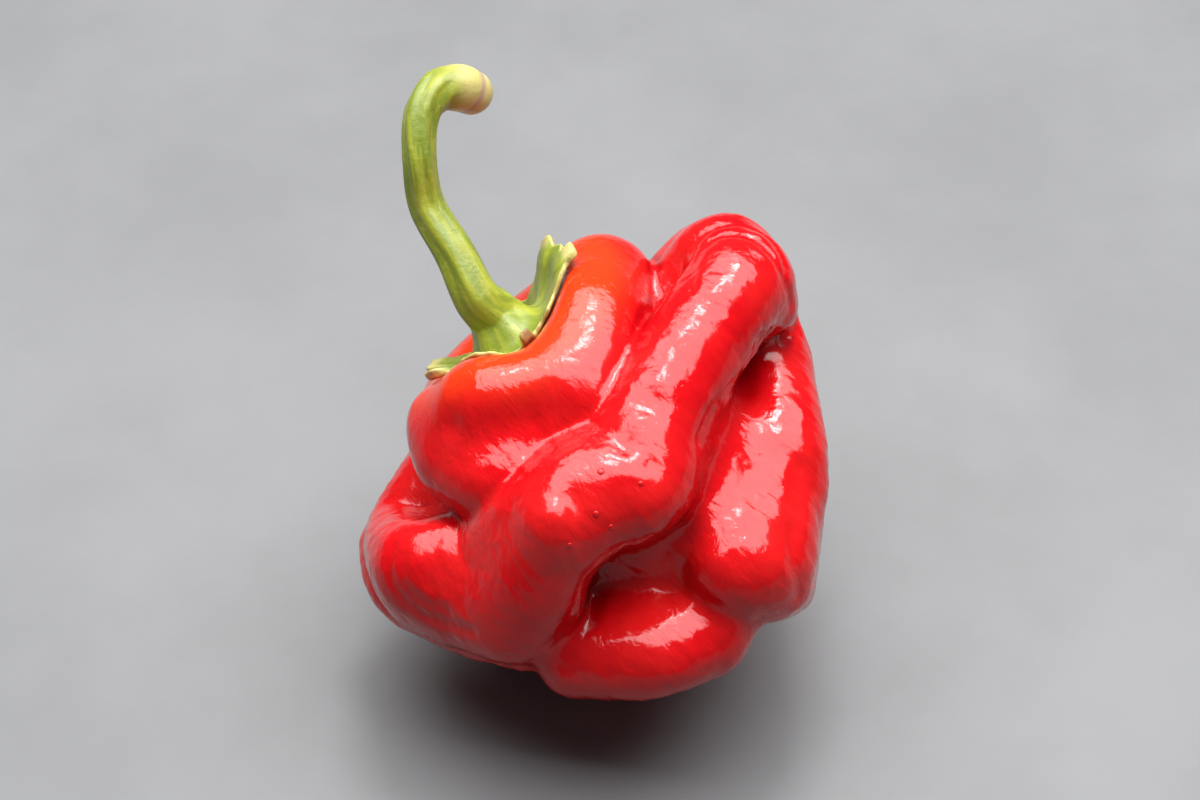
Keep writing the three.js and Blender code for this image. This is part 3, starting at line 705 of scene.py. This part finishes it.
class RestingPod:
    """The pod's field, pressed flat where it meets the surface."""

    EDGE = 0.5

    def __init__(self, pod: PodForm, rest: Rest) -> None:
        """Keeps the pod and how it lies."""
        self.pod, self.rest = pod, rest

    def distance(self, points: np.ndarray) -> np.ndarray:
        """Distance to the pressed skin, in mm."""
        return smooth_max(self.pod.distance(points), -self.rest.height(points), self.EDGE)


class Tree:
    """A node tree that is written a node at a time."""

    NOISE_MEAN = 0.5

    def __init__(self, tree: bpy.types.NodeTree) -> None:
        """Clears the tree."""
        self.tree = tree
        tree.nodes.clear()

    def add(self, kind: str, settings: dict | None = None, **inputs: object) -> bpy.types.Node:
        """Adds a node.

        Args:
            kind: its type's name.
            settings: attributes to set on it.
            inputs: a value or an output for each input, by name with _ for a space, or by i and number.

        Returns:
            The node.
        """
        node = self.tree.nodes.new(kind)
        for name, value in (settings or {}).items():
            setattr(node, name, value)
        for name, value in inputs.items():
            if name[0] == "i" and name[1:].isdigit():
                socket = node.inputs[int(name[1:])]
            else:
                socket = node.inputs[name.replace("_", " ")]
            if isinstance(value, Socket):
                self.tree.links.new(value, socket)
            else:
                socket.default_value = value
        return node

    def math(self, operation: str, *values: object) -> Socket:
        """A Math node's result."""
        inputs = {f"i{k}": value for k, value in enumerate(values)}
        return self.add("ShaderNodeMath", {"operation": operation}, **inputs).outputs[0]

    def times(self, a: object, b: object) -> Socket:
        """The product of two numbers."""
        return self.math("MULTIPLY", a, b)

    def swing(self, noise: Socket, depth: object) -> Socket:
        """A noise made to swing about zero, depth from lowest to highest."""
        return self.times(self.math("SUBTRACT", noise, self.NOISE_MEAN), depth)

    def noise(self, place: Socket, scale: object, detail: float, turn: Socket | None = None,
              **inputs: object) -> Socket:
        """A noise between 0 and 1.

        Args:
            place: where it is read.
            scale: how close its lumps lie.
            detail: how many finer layers it has.
            turn: its place in a fourth dimension, where it has one.
            inputs: further inputs of the node.

        Returns:
            The noise.
        """
        fourth = {} if turn is None else {"W": turn}
        settings = {"noise_dimensions": "4D" if fourth else "3D"}
        return self.add("ShaderNodeTexNoise", settings, Vector=place, Scale=scale, Detail=detail, **fourth,
                        **inputs).outputs[0]

    def vector(self, operation: str, a: object, b: object) -> Socket:
        """A Vector Math node's vector, with a number as b for a scale."""
        second = {"Scale": b} if operation == "SCALE" else {"i1": b}
        return self.add("ShaderNodeVectorMath", {"operation": operation}, i0=a, **second).outputs[0]

    def ramp(self, value: Socket, span: tuple, most: float = 1.0, least: float = 0.0) -> Socket:
        """A smooth step from least to most as the value goes through a span."""
        node = self.add("ShaderNodeMapRange", {"interpolation_type": "SMOOTHSTEP"}, Value=value,
                        From_Min=span[0], From_Max=span[1], To_Min=least, To_Max=most)
        return node.outputs[0]

    def mix(self, share: object, a: object, b: object) -> Socket:
        """A colour mixed from a and b."""
        node = self.add("ShaderNodeMix", {"data_type": "RGBA"}, i0=share, i6=a, i7=b)
        return node.outputs[2]


class GeometryTree(Tree):
    """A Geometry Nodes tree with named inputs, ending in Realize Instances and Set Material."""

    def __init__(self, name: str, sizes: dict[str, float]) -> None:
        """Makes the tree's sockets.

        Args:
            name: the tree's name.
            sizes: its number inputs with their values.
        """
        self.sizes = sizes
        group = bpy.data.node_groups.new(name, "GeometryNodeTree")
        super().__init__(group)
        group.interface.new_socket("Geometry", in_out="INPUT", socket_type="NodeSocketGeometry")
        group.interface.new_socket("Geometry", in_out="OUTPUT", socket_type="NodeSocketGeometry")
        for size, value in sizes.items():
            kind = "NodeSocketInt" if isinstance(value, int) else "NodeSocketFloat"
            group.interface.new_socket(size, in_out="INPUT", socket_type=kind).default_value = value
        self.group = group
        self.inputs = self.add("NodeGroupInput").outputs

    def attribute(self, name: str, kind: str = "FLOAT") -> Socket:
        """A number or vector stored on the mesh."""
        node = self.add("GeometryNodeInputNamedAttribute", {"data_type": kind}, Name=name)
        return node.outputs["Attribute"]

    def raised(self, height: Socket) -> Socket:
        """The skin, moved along its normals."""
        normal = self.add("GeometryNodeInputNormal").outputs[0]
        return self.add("GeometryNodeSetPosition", Geometry=self.inputs["Geometry"],
                        Offset=self.vector("SCALE", normal, height)).outputs[0]

    def end(self, geometry: Socket, material: bpy.types.Material) -> None:
        """Realizes the geometry, gives it its material and puts it out."""
        real = self.add("GeometryNodeRealizeInstances", Geometry=geometry).outputs[0]
        dressed = self.add("GeometryNodeSetMaterial", Geometry=real, Material=material).outputs[0]
        self.add("NodeGroupOutput", Geometry=dressed)

    def apply(self, piece: bpy.types.Object) -> None:
        """Runs the tree on a piece and makes the result its plain mesh.

        Args:
            piece: the object to change.
        """
        modifier = piece.modifiers.new("form", "NODES")
        modifier.node_group = self.group
        items = self.group.interface.items_tree
        sockets = {item.name: item.identifier for item in items if item.in_out == "INPUT"}
        for name, value in self.sizes.items():
            modifier[sockets[name]] = value
        depsgraph = bpy.context.evaluated_depsgraph_get()
        mesh = bpy.data.meshes.new_from_object(piece.evaluated_get(depsgraph))
        piece.modifiers.clear()
        piece.data = mesh


def relief_tree(material: bpy.types.Material) -> GeometryTree:
    """Raises and lowers a skin in soft waves, and scatters small pimples where the skin is pimply.

    Args:
        material: what the skin is dressed in.

    Returns:
        The tree.
    """
    tree = GeometryTree("skin_relief", {
        "Wave Depth": 0.26 * MM, "Wave Scale": 0.30, "Ripple Depth": 0.30 * MM, "Ripple Scale": 0.8,
        "Ripple Stretch": 0.4, "Relief Turn": 3.0, "Pimple Density": 0.05 / MM ** 2,
        "Pimple Radius": 0.3 * MM, "Pimple Flatness": 0.3, "Least Pimple": 0.6, "Largest Pimple": 1.3,
        "Pimple Seed": 7})
    sizes = tree.inputs
    turn, seed = sizes["Relief Turn"], sizes["Pimple Seed"]
    own = tree.attribute("own", "FLOAT_VECTOR")
    stretch = tree.add("ShaderNodeCombineXYZ", X=1.0, Y=1.0, Z=sizes["Ripple Stretch"]).outputs[0]
    wave = tree.noise(own, sizes["Wave Scale"], detail=1.0, turn=turn, Roughness=0.4)
    ripple = tree.noise(tree.vector("MULTIPLY", own, stretch), sizes["Ripple Scale"], detail=2.0, turn=turn,
                        Roughness=0.5, Distortion=0.8)
    wave, ripple = tree.swing(wave, sizes["Wave Depth"]), tree.swing(ripple, sizes["Ripple Depth"])
    waved = tree.raised(tree.times(tree.math("ADD", wave, ripple), tree.attribute("loose")))
    scatter = tree.add("GeometryNodeDistributePointsOnFaces", Mesh=waved, Seed=seed,
                       Density=tree.times(tree.attribute("pimply"), sizes["Pimple Density"])).outputs
    ball = tree.add("GeometryNodeMeshIcoSphere", Radius=1.0, Subdivisions=2).outputs[0]
    smooth = tree.add("GeometryNodeSetShadeSmooth", Geometry=ball).outputs[0]
    spread = tree.add("FunctionNodeRandomValue", {"data_type": "FLOAT"}, i2=sizes["Least Pimple"],
                      i3=sizes["Largest Pimple"], Seed=seed).outputs[1]
    radius = tree.times(spread, sizes["Pimple Radius"])
    flat = tree.add("ShaderNodeCombineXYZ", X=radius, Y=radius,
                    Z=tree.times(radius, sizes["Pimple Flatness"])).outputs[0]
    pimples = tree.add("GeometryNodeInstanceOnPoints", Points=scatter["Points"], Instance=smooth,
                       Rotation=scatter["Rotation"], Scale=flat).outputs[0]
    both = tree.add("GeometryNodeJoinGeometry")
    for geometry in (pimples, waved):
        tree.tree.links.new(geometry, both.inputs[0])
    tree.end(both.outputs[0], material)
    return tree


def rib_tree(material: bpy.types.Material) -> GeometryTree:
    """Raises ribs that wind along a stem, from the way round and the way along stored on it.

    Args:
        material: what the stem is dressed in.

    Returns:
        The tree.
    """
    tree = GeometryTree("stem_ribs", {"Ribs": 6.0, "Rib Depth": 0.09 * MM, "Twist": 0.14,
                                      "Grain Depth": 0.05 * MM, "Grain Scale": 0.9 / MM})
    sizes = tree.inputs
    turn = tree.math("ADD", tree.attribute("round"), tree.times(tree.attribute("along"), sizes["Twist"]))
    wave = tree.math("COSINE", tree.times(turn, sizes["Ribs"]))
    rib = tree.times(tree.times(wave, sizes["Rib Depth"]), tree.attribute("ribbed"))
    position = tree.add("GeometryNodeInputPosition").outputs[0]
    grain = tree.swing(tree.noise(position, sizes["Grain Scale"], detail=3.0), sizes["Grain Depth"])
    tree.end(tree.raised(tree.math("ADD", rib, grain)), material)
    return tree


def fine_bump_group() -> bpy.types.ShaderNodeTree:
    """Shader group for the small unevenness that every skin here has.

    Returns:
        A group that turns a position, a stretch and two scales into a height.
    """
    group = bpy.data.node_groups.new("fine_skin", "ShaderNodeTree")
    sockets = {"Position": "Vector", "Stretch": "Vector", "Coarse Scale": "Float", "Fine Scale": "Float",
               "Fine Share": "Float"}
    for name, kind in sockets.items():
        group.interface.new_socket(name, in_out="INPUT", socket_type=f"NodeSocket{kind}")
    group.interface.new_socket("Height", in_out="OUTPUT", socket_type="NodeSocketFloat")
    tree = Tree(group)
    inputs = tree.add("NodeGroupInput").outputs
    place = tree.vector("MULTIPLY", inputs["Position"], inputs["Stretch"])
    coarse = tree.noise(place, inputs["Coarse Scale"], detail=3.0, Roughness=0.5, Distortion=0.6)
    fine = tree.noise(place, inputs["Fine Scale"], detail=2.0, Roughness=0.6)
    tree.add("NodeGroupOutput", Height=tree.math("ADD", coarse, tree.times(fine, inputs["Fine Share"])))
    return group


class MaterialTree(Tree):
    """A new material's node tree, ending in a Principled shader."""

    def __init__(self, name: str) -> None:
        """Makes the material."""
        self.material = bpy.data.materials.new(name)
        self.material.use_nodes = True
        super().__init__(self.material.node_tree)
        self.position = self.add("ShaderNodeTexCoord").outputs["Object"]

    def read(self, name: str, part: str = "Fac") -> Socket:
        """A number or vector stored on the mesh."""
        return self.add("ShaderNodeAttribute", {"attribute_name": name}).outputs[part]

    def bump(self, group: bpy.types.ShaderNodeTree, strength: float, distance: float,
             **inputs: object) -> Socket:
        """The normal that a group's height gives, with the distance in metres."""
        height = self.add("ShaderNodeGroup", {"node_tree": group}, **inputs).outputs[0]
        return self.add("ShaderNodeBump", Strength=strength, Distance=distance, Height=height).outputs[0]

    def end(self, **inputs: object) -> bpy.types.Material:
        """Adds the shader and gives the material."""
        shader = self.add("ShaderNodeBsdfPrincipled", **inputs)
        self.add("ShaderNodeOutputMaterial", Surface=shader.outputs[0])
        return self.material


@dataclass(frozen=True)
class PodFinish:
    """Glossy red skin, orange round the calyx, with painted shade: a deeper red laid in its hollows.

    The spans are the values over which a mask goes from 0 to its most.
    """

    red: tuple = (0.58, 0.003, 0.006, 1)
    bright: tuple = (0.64, 0.009, 0.010, 1)
    orange: tuple = (0.66, 0.042, 0.006, 1)
    painted_shade_red: tuple = (0.32, 0.0, 0.002, 1)
    most: float = 0.9
    patch_scale: float = 140.0
    patch_span: tuple = (0.35, 0.7)
    painted_shade_span: tuple = (0.25, 1.0)
    rough_span: tuple = (0.3, 0.75)
    roughness: tuple = (0.09, 0.16)

    def material(self, bump: bpy.types.ShaderNodeTree) -> bpy.types.Material:
        """Builds the finish."""
        tree = MaterialTree("pod_skin")
        patches = tree.noise(tree.position, self.patch_scale, detail=2.0)
        colour = tree.mix(tree.ramp(patches, self.patch_span), self.red, self.bright)
        colour = tree.mix(tree.ramp(tree.read("crown"), (0.0, 1.0), self.most), colour, self.orange)
        # painted shade: the hollow mask turns the red towards a darker red where the skin turns back into a
        # crease
        colour = tree.mix(tree.ramp(tree.read("hollow"), self.painted_shade_span, self.most), colour, self.painted_shade_red)
        normal = tree.bump(bump, strength=1.0, distance=0.00009, Position=tree.read("own", "Vector"),
                           Stretch=(1.0, 1.0, 0.4), Coarse_Scale=1.1, Fine_Scale=3.4, Fine_Share=0.22)
        low, high = self.roughness
        return tree.end(Base_Color=colour, Roughness=tree.ramp(patches, self.rough_span, high, low),
                        Normal=normal, IOR=1.41, Subsurface_Weight=0.10, Subsurface_Scale=0.002,
                        Subsurface_Radius=(1.0, 0.12, 0.08), Coat_Weight=0.12, Coat_Roughness=0.04)


@dataclass(frozen=True)
class StalkFinish:
    """Yellow-green stem with darker streaks, and cream at the calyx's edge and the stem's end.

    The spans are the values over which a mask goes from 0 to its most.
    """

    green: tuple = (0.33, 0.36, 0.028, 1)
    dark: tuple = (0.19, 0.245, 0.02, 1)
    pale: tuple = (0.43, 0.44, 0.09, 1)
    cream: tuple = (0.56, 0.50, 0.17, 1)
    brown: tuple = (0.20, 0.09, 0.03, 1)
    mauve: tuple = (0.42, 0.25, 0.24, 1)
    swirl: float = 0.14
    streak_pace: float = 0.35
    streak_scale: float = 2.6
    green_span: tuple = (0.40, 0.62)
    pale_span: tuple = (0.60, 0.78)
    speckle_scale: float = 1500.0
    speckle_span: tuple = (0.58, 0.72)
    brown_span: tuple = (0.52, 0.62)
    tip_span: tuple = (0.0, 0.35)
    ring_spans: tuple = ((0.52, 0.62), (0.78, 0.66))

    def edge(self, tree: MaterialTree, colour: Socket, speckle: Socket) -> Socket:
        """Lays cream and brown specks on the calyx's edge, and brown on its scar.

        Args:
            tree: the material's tree.
            colour: what lies under it.
            speckle: the noise of the specks.

        Returns:
            The colour with the edge.
        """
        edge = tree.read("edge")
        rim = tree.ramp(edge, (0.5, 1.0), most=0.8)
        tooth = tree.ramp(tree.read("tooth"), (0.3, 0.9))
        colour = tree.mix(tree.math("MAXIMUM", rim, tooth), colour, self.cream)
        specks = tree.times(tree.ramp(speckle, self.brown_span), tree.ramp(edge, (0.8, 1.0)))
        return tree.mix(tree.math("MAXIMUM", tree.times(specks, 0.5), tree.read("scar")), colour, self.brown)

    def tip(self, tree: MaterialTree, colour: Socket) -> Socket:
        """Lays cream on the stem's end, and the mauve ring round it.

        Args:
            tree: the material's tree.
            colour: what lies under it.

        Returns:
            The colour with the tip.
        """
        tip = tree.read("tip")
        colour = tree.mix(tree.ramp(tip, self.tip_span), colour, self.cream)
        rise, fall = (tree.ramp(tip, span) for span in self.ring_spans)
        return tree.mix(tree.times(tree.times(rise, fall), 0.7), colour, self.mauve)

    def material(self, bump: bpy.types.ShaderNodeTree) -> bpy.types.Material:
        """Builds the finish."""
        tree = MaterialTree("stalk_skin")
        along = tree.read("along")
        turn = tree.math("ADD", tree.read("round"), tree.times(along, self.swirl))
        strip = tree.add("ShaderNodeCombineXYZ", X=tree.math("COSINE", turn), Y=tree.math("SINE", turn),
                         Z=tree.times(along, self.streak_pace)).outputs[0]
        streaks = tree.noise(strip, self.streak_scale, detail=4.0, Roughness=0.6)
        speckle = tree.noise(tree.position, self.speckle_scale, detail=2.0)
        colour = tree.mix(tree.ramp(streaks, self.green_span), self.dark, self.green)
        colour = tree.mix(tree.ramp(streaks, self.pale_span, most=0.7), colour, self.pale)
        colour = tree.mix(tree.ramp(speckle, self.speckle_span, most=0.35), colour, self.pale)
        colour = self.tip(tree, self.edge(tree, colour, speckle))
        normal = tree.bump(bump, strength=0.5, distance=0.00012, Position=tree.position,
                           Stretch=(1.0, 1.0, 1.0), Coarse_Scale=900.0, Fine_Scale=3800.0, Fine_Share=0.4)
        return tree.end(Base_Color=colour, Roughness=0.42, Normal=normal, Subsurface_Weight=0.1,
                        Subsurface_Scale=0.0015, Coat_Weight=0.08, Coat_Roughness=0.25)


def mesh_piece(name: str, points: np.ndarray, quads: np.ndarray,
               numbers: dict[str, np.ndarray]) -> bpy.types.Object:
    """Makes a smooth-shaded object from corners in mm.

    Args:
        name: the piece's name.
        points: its corners in the object's frame, in mm.
        quads: its faces.
        numbers: values to store at its corners, by attribute name.

    Returns:
        The object.
    """
    mesh = bpy.data.meshes.new(name)
    mesh.vertices.add(len(points))
    mesh.vertices.foreach_set("co", (points * MM).astype(np.float32).ravel())
    mesh.loops.add(quads.size)
    mesh.loops.foreach_set("vertex_index", quads.astype(np.int32).ravel())
    mesh.polygons.add(len(quads))
    mesh.polygons.foreach_set("loop_start", np.arange(0, quads.size, 4, dtype=np.int32))
    mesh.update(calc_edges=True)
    mesh.validate()
    mesh.shade_smooth()
    for attribute, values in numbers.items():
        kind, part = ("FLOAT_VECTOR", "vector") if values.ndim > 1 else ("FLOAT", "value")
        stored = mesh.attributes.new(attribute, kind, "POINT").data
        stored.foreach_set(part, values.astype(np.float32).ravel())
    piece = bpy.data.objects.new(name, mesh)
    bpy.context.scene.collection.objects.link(piece)
    return piece


@dataclass(frozen=True)
class Grid:
    """The box and the cell's edge that a piece is drawn with, in mm, and its rounds of smoothing."""

    low: tuple
    high: tuple
    cell: float
    quick_cell: float
    smoothing: int


@dataclass
class Skin(ABC):
    """A piece that is drawn from a distance field, in place of a solid."""

    form: PodForm | StalkForm
    rest: Rest

    @abstractmethod
    def numbers(self, mesher: SkinMesher, points: np.ndarray) -> dict[str, np.ndarray]:
        """What the relief and the finish read at each corner.

        Args:
            mesher: what drew the skin.
            points: its corners in the pod's frame, in mm.

        Returns:
            Numbers or vectors by attribute name.
        """

    def draw(self, node: Node, form: RestingPod | StalkForm, grid: Grid, tree: GeometryTree) -> None:
        """Draws the piece, runs its tree on it and hands it over.

        Args:
            node: the solid that it replaces.
            form: what gives the distance.
            grid: what it is drawn with.
            tree: its relief.
        """
        mesher = SkinMesher(form, grid.low, grid.high, grid.cell)
        points, quads = mesher.draw()
        points = mesher.relax(points, quads, grid.smoothing)
        numbers = self.numbers(mesher, points)
        piece = mesh_piece(f"{node.value}_skin", self.rest.place(points), quads, numbers)
        tree.apply(piece)
        hand_over(piece, node)


@dataclass
class Pod(Skin):
    """The fruit itself, in place of the plain pod.

    Each span holds the values between which a number goes from 0 to 1. A place is hollow where the skin turns
    back within hollow_reach, and the finish paints shade there. The skin waves where it is loose, near the
    stem only by calm_share.
    """

    grid: Grid = Grid((-25.0, -25.0, -21.0), (25.0, 25.0, 19.0), cell=0.32, quick_cell=0.55, smoothing=3)
    hollow_reach: float = 1.6
    painted_shade_span: tuple = (0.05, 0.9)
    crown_height: tuple = (8.5, 14.5)
    crown_out: tuple = (14.0, 9.0)
    resting_height: tuple = (0.1, 2.0)
    calm_height: tuple = (13.0, 9.0)
    calm_share: float = 0.35
    pimply: tuple = (("height", 0.0, 3.0), ("height", 12.0, 9.5), ("azimuth", -35.0, -20.0),
                     ("azimuth", 75.0, 60.0), ("out", 15.5, 17.0))

    def numbers(self, mesher: SkinMesher, points: np.ndarray) -> dict[str, np.ndarray]:
        """Gives the places in the pod's frame, and masks for crown, hollows (where shade is painted), loose
        skin and pimples.

        Args:
            mesher: what drew the skin.
            points: its corners in the pod's frame, in mm.

        Returns:
            Numbers or vectors by attribute name.
        """
        normal = unit(mesher.slope(points, mesher.form.distance(points)))
        hollow = 1 - mesher.form.distance(points + normal * self.hollow_reach) / self.hollow_reach
        own = points - np.array(self.form.set_back)
        calm = self.calm_share + (1 - self.calm_share) * ease(own[:, 2], *self.calm_height)
        measures = {"height": points[:, 2], "azimuth": azimuth_of(points), "out": distance_out(points)}
        pimply = np.ones(len(points))
        for measure, low, high in self.pimply:
            pimply *= ease(measures[measure], low, high)
        return {
            "own": points,
            "crown": ease(own[:, 2], *self.crown_height) * ease(distance_out(own), *self.crown_out),
            # hollow: mask for the painted shade in creases, from how soon the skin turns back
            "hollow": ease(hollow, *self.painted_shade_span),
            "loose": ease(self.rest.height(points), *self.resting_height) * calm,
            "pimply": pimply}

    def build(self, material: bpy.types.Material) -> None:
        """Draws the pod, pressed flat where it rests."""
        self.draw(Node.POD, RestingPod(self.form, self.rest), self.grid, relief_tree(material))


@dataclass
class Stalk(Skin):
    """Stem and calyx in one, in place of the plain stalk.

    Each span holds the values between which a number goes from 0 to 1. Places along the stem are counted in
    its balls, and tip_slant moves the tip's for each mm ahead of them. The scar is the brown front tooth.
    """

    grid: Grid = Grid((-15.4, -11.5, 8.2), (8.1, 13.5, 35.7), cell=0.2, quick_cell=0.32, smoothing=2)
    seam_azimuth: float = 42.0
    stem_span: tuple = (0.9, 0.1)
    ribbed_span: tuple = (7.8, 6.8)
    tip_span: tuple = (6.8, 9.8)
    tip_slant: float = 0.12
    calyx_height: tuple = (19.0, 17.0)
    edge_span: tuple = (0.7, 0.0)
    tooth_span: tuple = (2.2, 0.3)
    scar_azimuth: float = 7.0
    scar_half: tuple = (9.0, 3.0)
    scar_span: tuple = (1.3, 0.3)
    scar_depth: float = 0.85

    def numbers(self, mesher: SkinMesher, points: np.ndarray) -> dict[str, np.ndarray]:
        """Gives the ways along and round the stem, and masks for ribs, calyx and tip.

        Args:
            mesher: what drew the skin.
            points: its corners in the pod's frame, in mm.

        Returns:
            Numbers by attribute name.
        """
        own = points - np.array(self.form.pod.set_back)
        stem, (edge, _, tooth) = self.form.stem, self.form.outline(own)
        away, along = stem.nearest(own)
        middle, slope, _ = stem.at(along)
        ahead = unit(slope[:, :3])
        side = unit(np.cross(ahead, pod_point(self.seam_azimuth, 1, 0)))
        out = own - middle[:, :3]
        rim = edge - distance_out(own)
        low_down = ease(own[:, 2], *self.calyx_height)
        from_scar = np.abs(azimuth_of(own) - self.scar_azimuth)
        return {
            "along": along,
            "round": np.arctan2((out * np.cross(ahead, side)).sum(1), (out * side).sum(1)),
            "ribbed": ease(away, *self.stem_span) * ease(along, *self.ribbed_span),
            "edge": ease(rim, *self.edge_span) * low_down,
            "scar": self.scar_depth * ease(from_scar, *self.scar_half) * ease(rim, *self.scar_span),
            "tooth": tooth * ease(rim, *self.tooth_span) * low_down,
            "tip": ease(along + self.tip_slant * (out * ahead).sum(1), *self.tip_span)}

    def build(self, material: bpy.types.Material) -> None:
        """Draws the stalk with its ribs."""
        self.draw(Node.STALK, self.form, self.grid, rib_tree(material))


@dataclass(frozen=True)
class Lamp:
    """A rectangular light that hangs towards a direction seen from the pod, in mm and watts, and faces it."""

    name: str
    towards: tuple
    distance: float
    size: tuple
    power: float

    def hang(self, middle: Vector) -> None:
        """Makes the light, facing the middle of the pod."""
        data = bpy.data.lights.new(self.name, "AREA")
        data.shape = "RECTANGLE"
        data.size, data.size_y = (side * MM for side in self.size)
        data.energy = self.power
        lamp = bpy.data.objects.new(self.name, data)
        direction = Vector(self.towards).normalized()
        lamp.location = (middle + direction * self.distance) * MM
        lamp.rotation_euler = direction.to_track_quat("Z", "Y").to_euler()
        bpy.context.scene.collection.objects.link(lamp)


@dataclass
class Studio:
    """Pale floor, soft light and the camera."""

    middle: Vector
    elevation: float = 48.0
    distance: float = 260.87
    lens: float = 90.0
    sensor: float = 36.0
    aside: float = -0.87
    above: float = 4.35
    lamps: tuple = (
        Lamp("softbox", towards=(0.05, 0.30, 1.0), distance=600.0, size=(960.0, 660.0), power=11.8),
        Lamp("core", towards=(0.05, 0.45, 1.0), distance=620.0, size=(170.0, 110.0), power=1.5))
    room: tuple = (0.9, 0.93, 1.0, 1)
    room_strength: float = 0.10
    floor_half: float = 3000.0
    floor_dark: tuple = (0.153, 0.1547, 0.1581, 1)
    floor_light: tuple = (0.1836, 0.1853, 0.1904, 1)

    def build(self) -> None:
        """Sets up floor, lights and camera."""
        self.floor()
        for lamp in self.lamps:
            lamp.hang(self.middle)
        world = bpy.data.worlds.new("room")
        world.use_nodes = True
        background = world.node_tree.nodes["Background"].inputs
        background["Color"].default_value = self.room
        background["Strength"].default_value = self.room_strength
        bpy.context.scene.world = world
        self.camera()
        bpy.context.scene.view_settings.view_transform = "Standard"

    def floor(self) -> None:
        """A plain pale floor that runs past the view."""
        corners = np.array([(x, y, 0) for x, y in ((-1, -1), (1, -1), (1, 1), (-1, 1))]) * self.floor_half
        floor = mesh_piece("floor", corners, np.array([[0, 1, 2, 3]]), {})
        tree = MaterialTree("floor")
        cloud = tree.noise(tree.position, scale=28.0, detail=5.0, Roughness=0.6)
        colour = tree.mix(tree.ramp(cloud, (0.3, 0.7)), self.floor_dark, self.floor_light)
        floor.data.materials.append(tree.end(Base_Color=colour, Roughness=0.55))

    def camera(self) -> None:
        """Puts the camera at the pepper's front, looking down on it."""
        tilt = math.radians(self.elevation)
        back = Vector((0, -math.cos(tilt), math.sin(tilt)))
        up = Vector((0, math.sin(tilt), math.cos(tilt)))
        data = bpy.data.cameras.new("camera")
        data.lens, data.sensor_width = self.lens, self.sensor
        camera = bpy.data.objects.new("camera", data)
        place = self.middle + back * self.distance + Vector((self.aside, 0, 0)) + up * self.above
        camera.location = place * MM
        camera.rotation_euler = (math.pi / 2 - tilt, 0, 0)
        bpy.context.scene.collection.objects.link(camera)
        bpy.context.scene.camera = camera


def main() -> None:
    """Builds the chilli and its studio."""
    logging.basicConfig(level=logging.INFO, format="%(name)s %(message)s")
    rest, form = Rest(), PodForm()
    bump = fine_bump_group()
    Pod(form, rest).build(PodFinish().material(bump))
    Stalk(StalkForm(form), rest).build(StalkFinish().material(bump))
    Studio(Vector(rest.MIDDLE)).build()


if __name__ == "__main__":
    main()
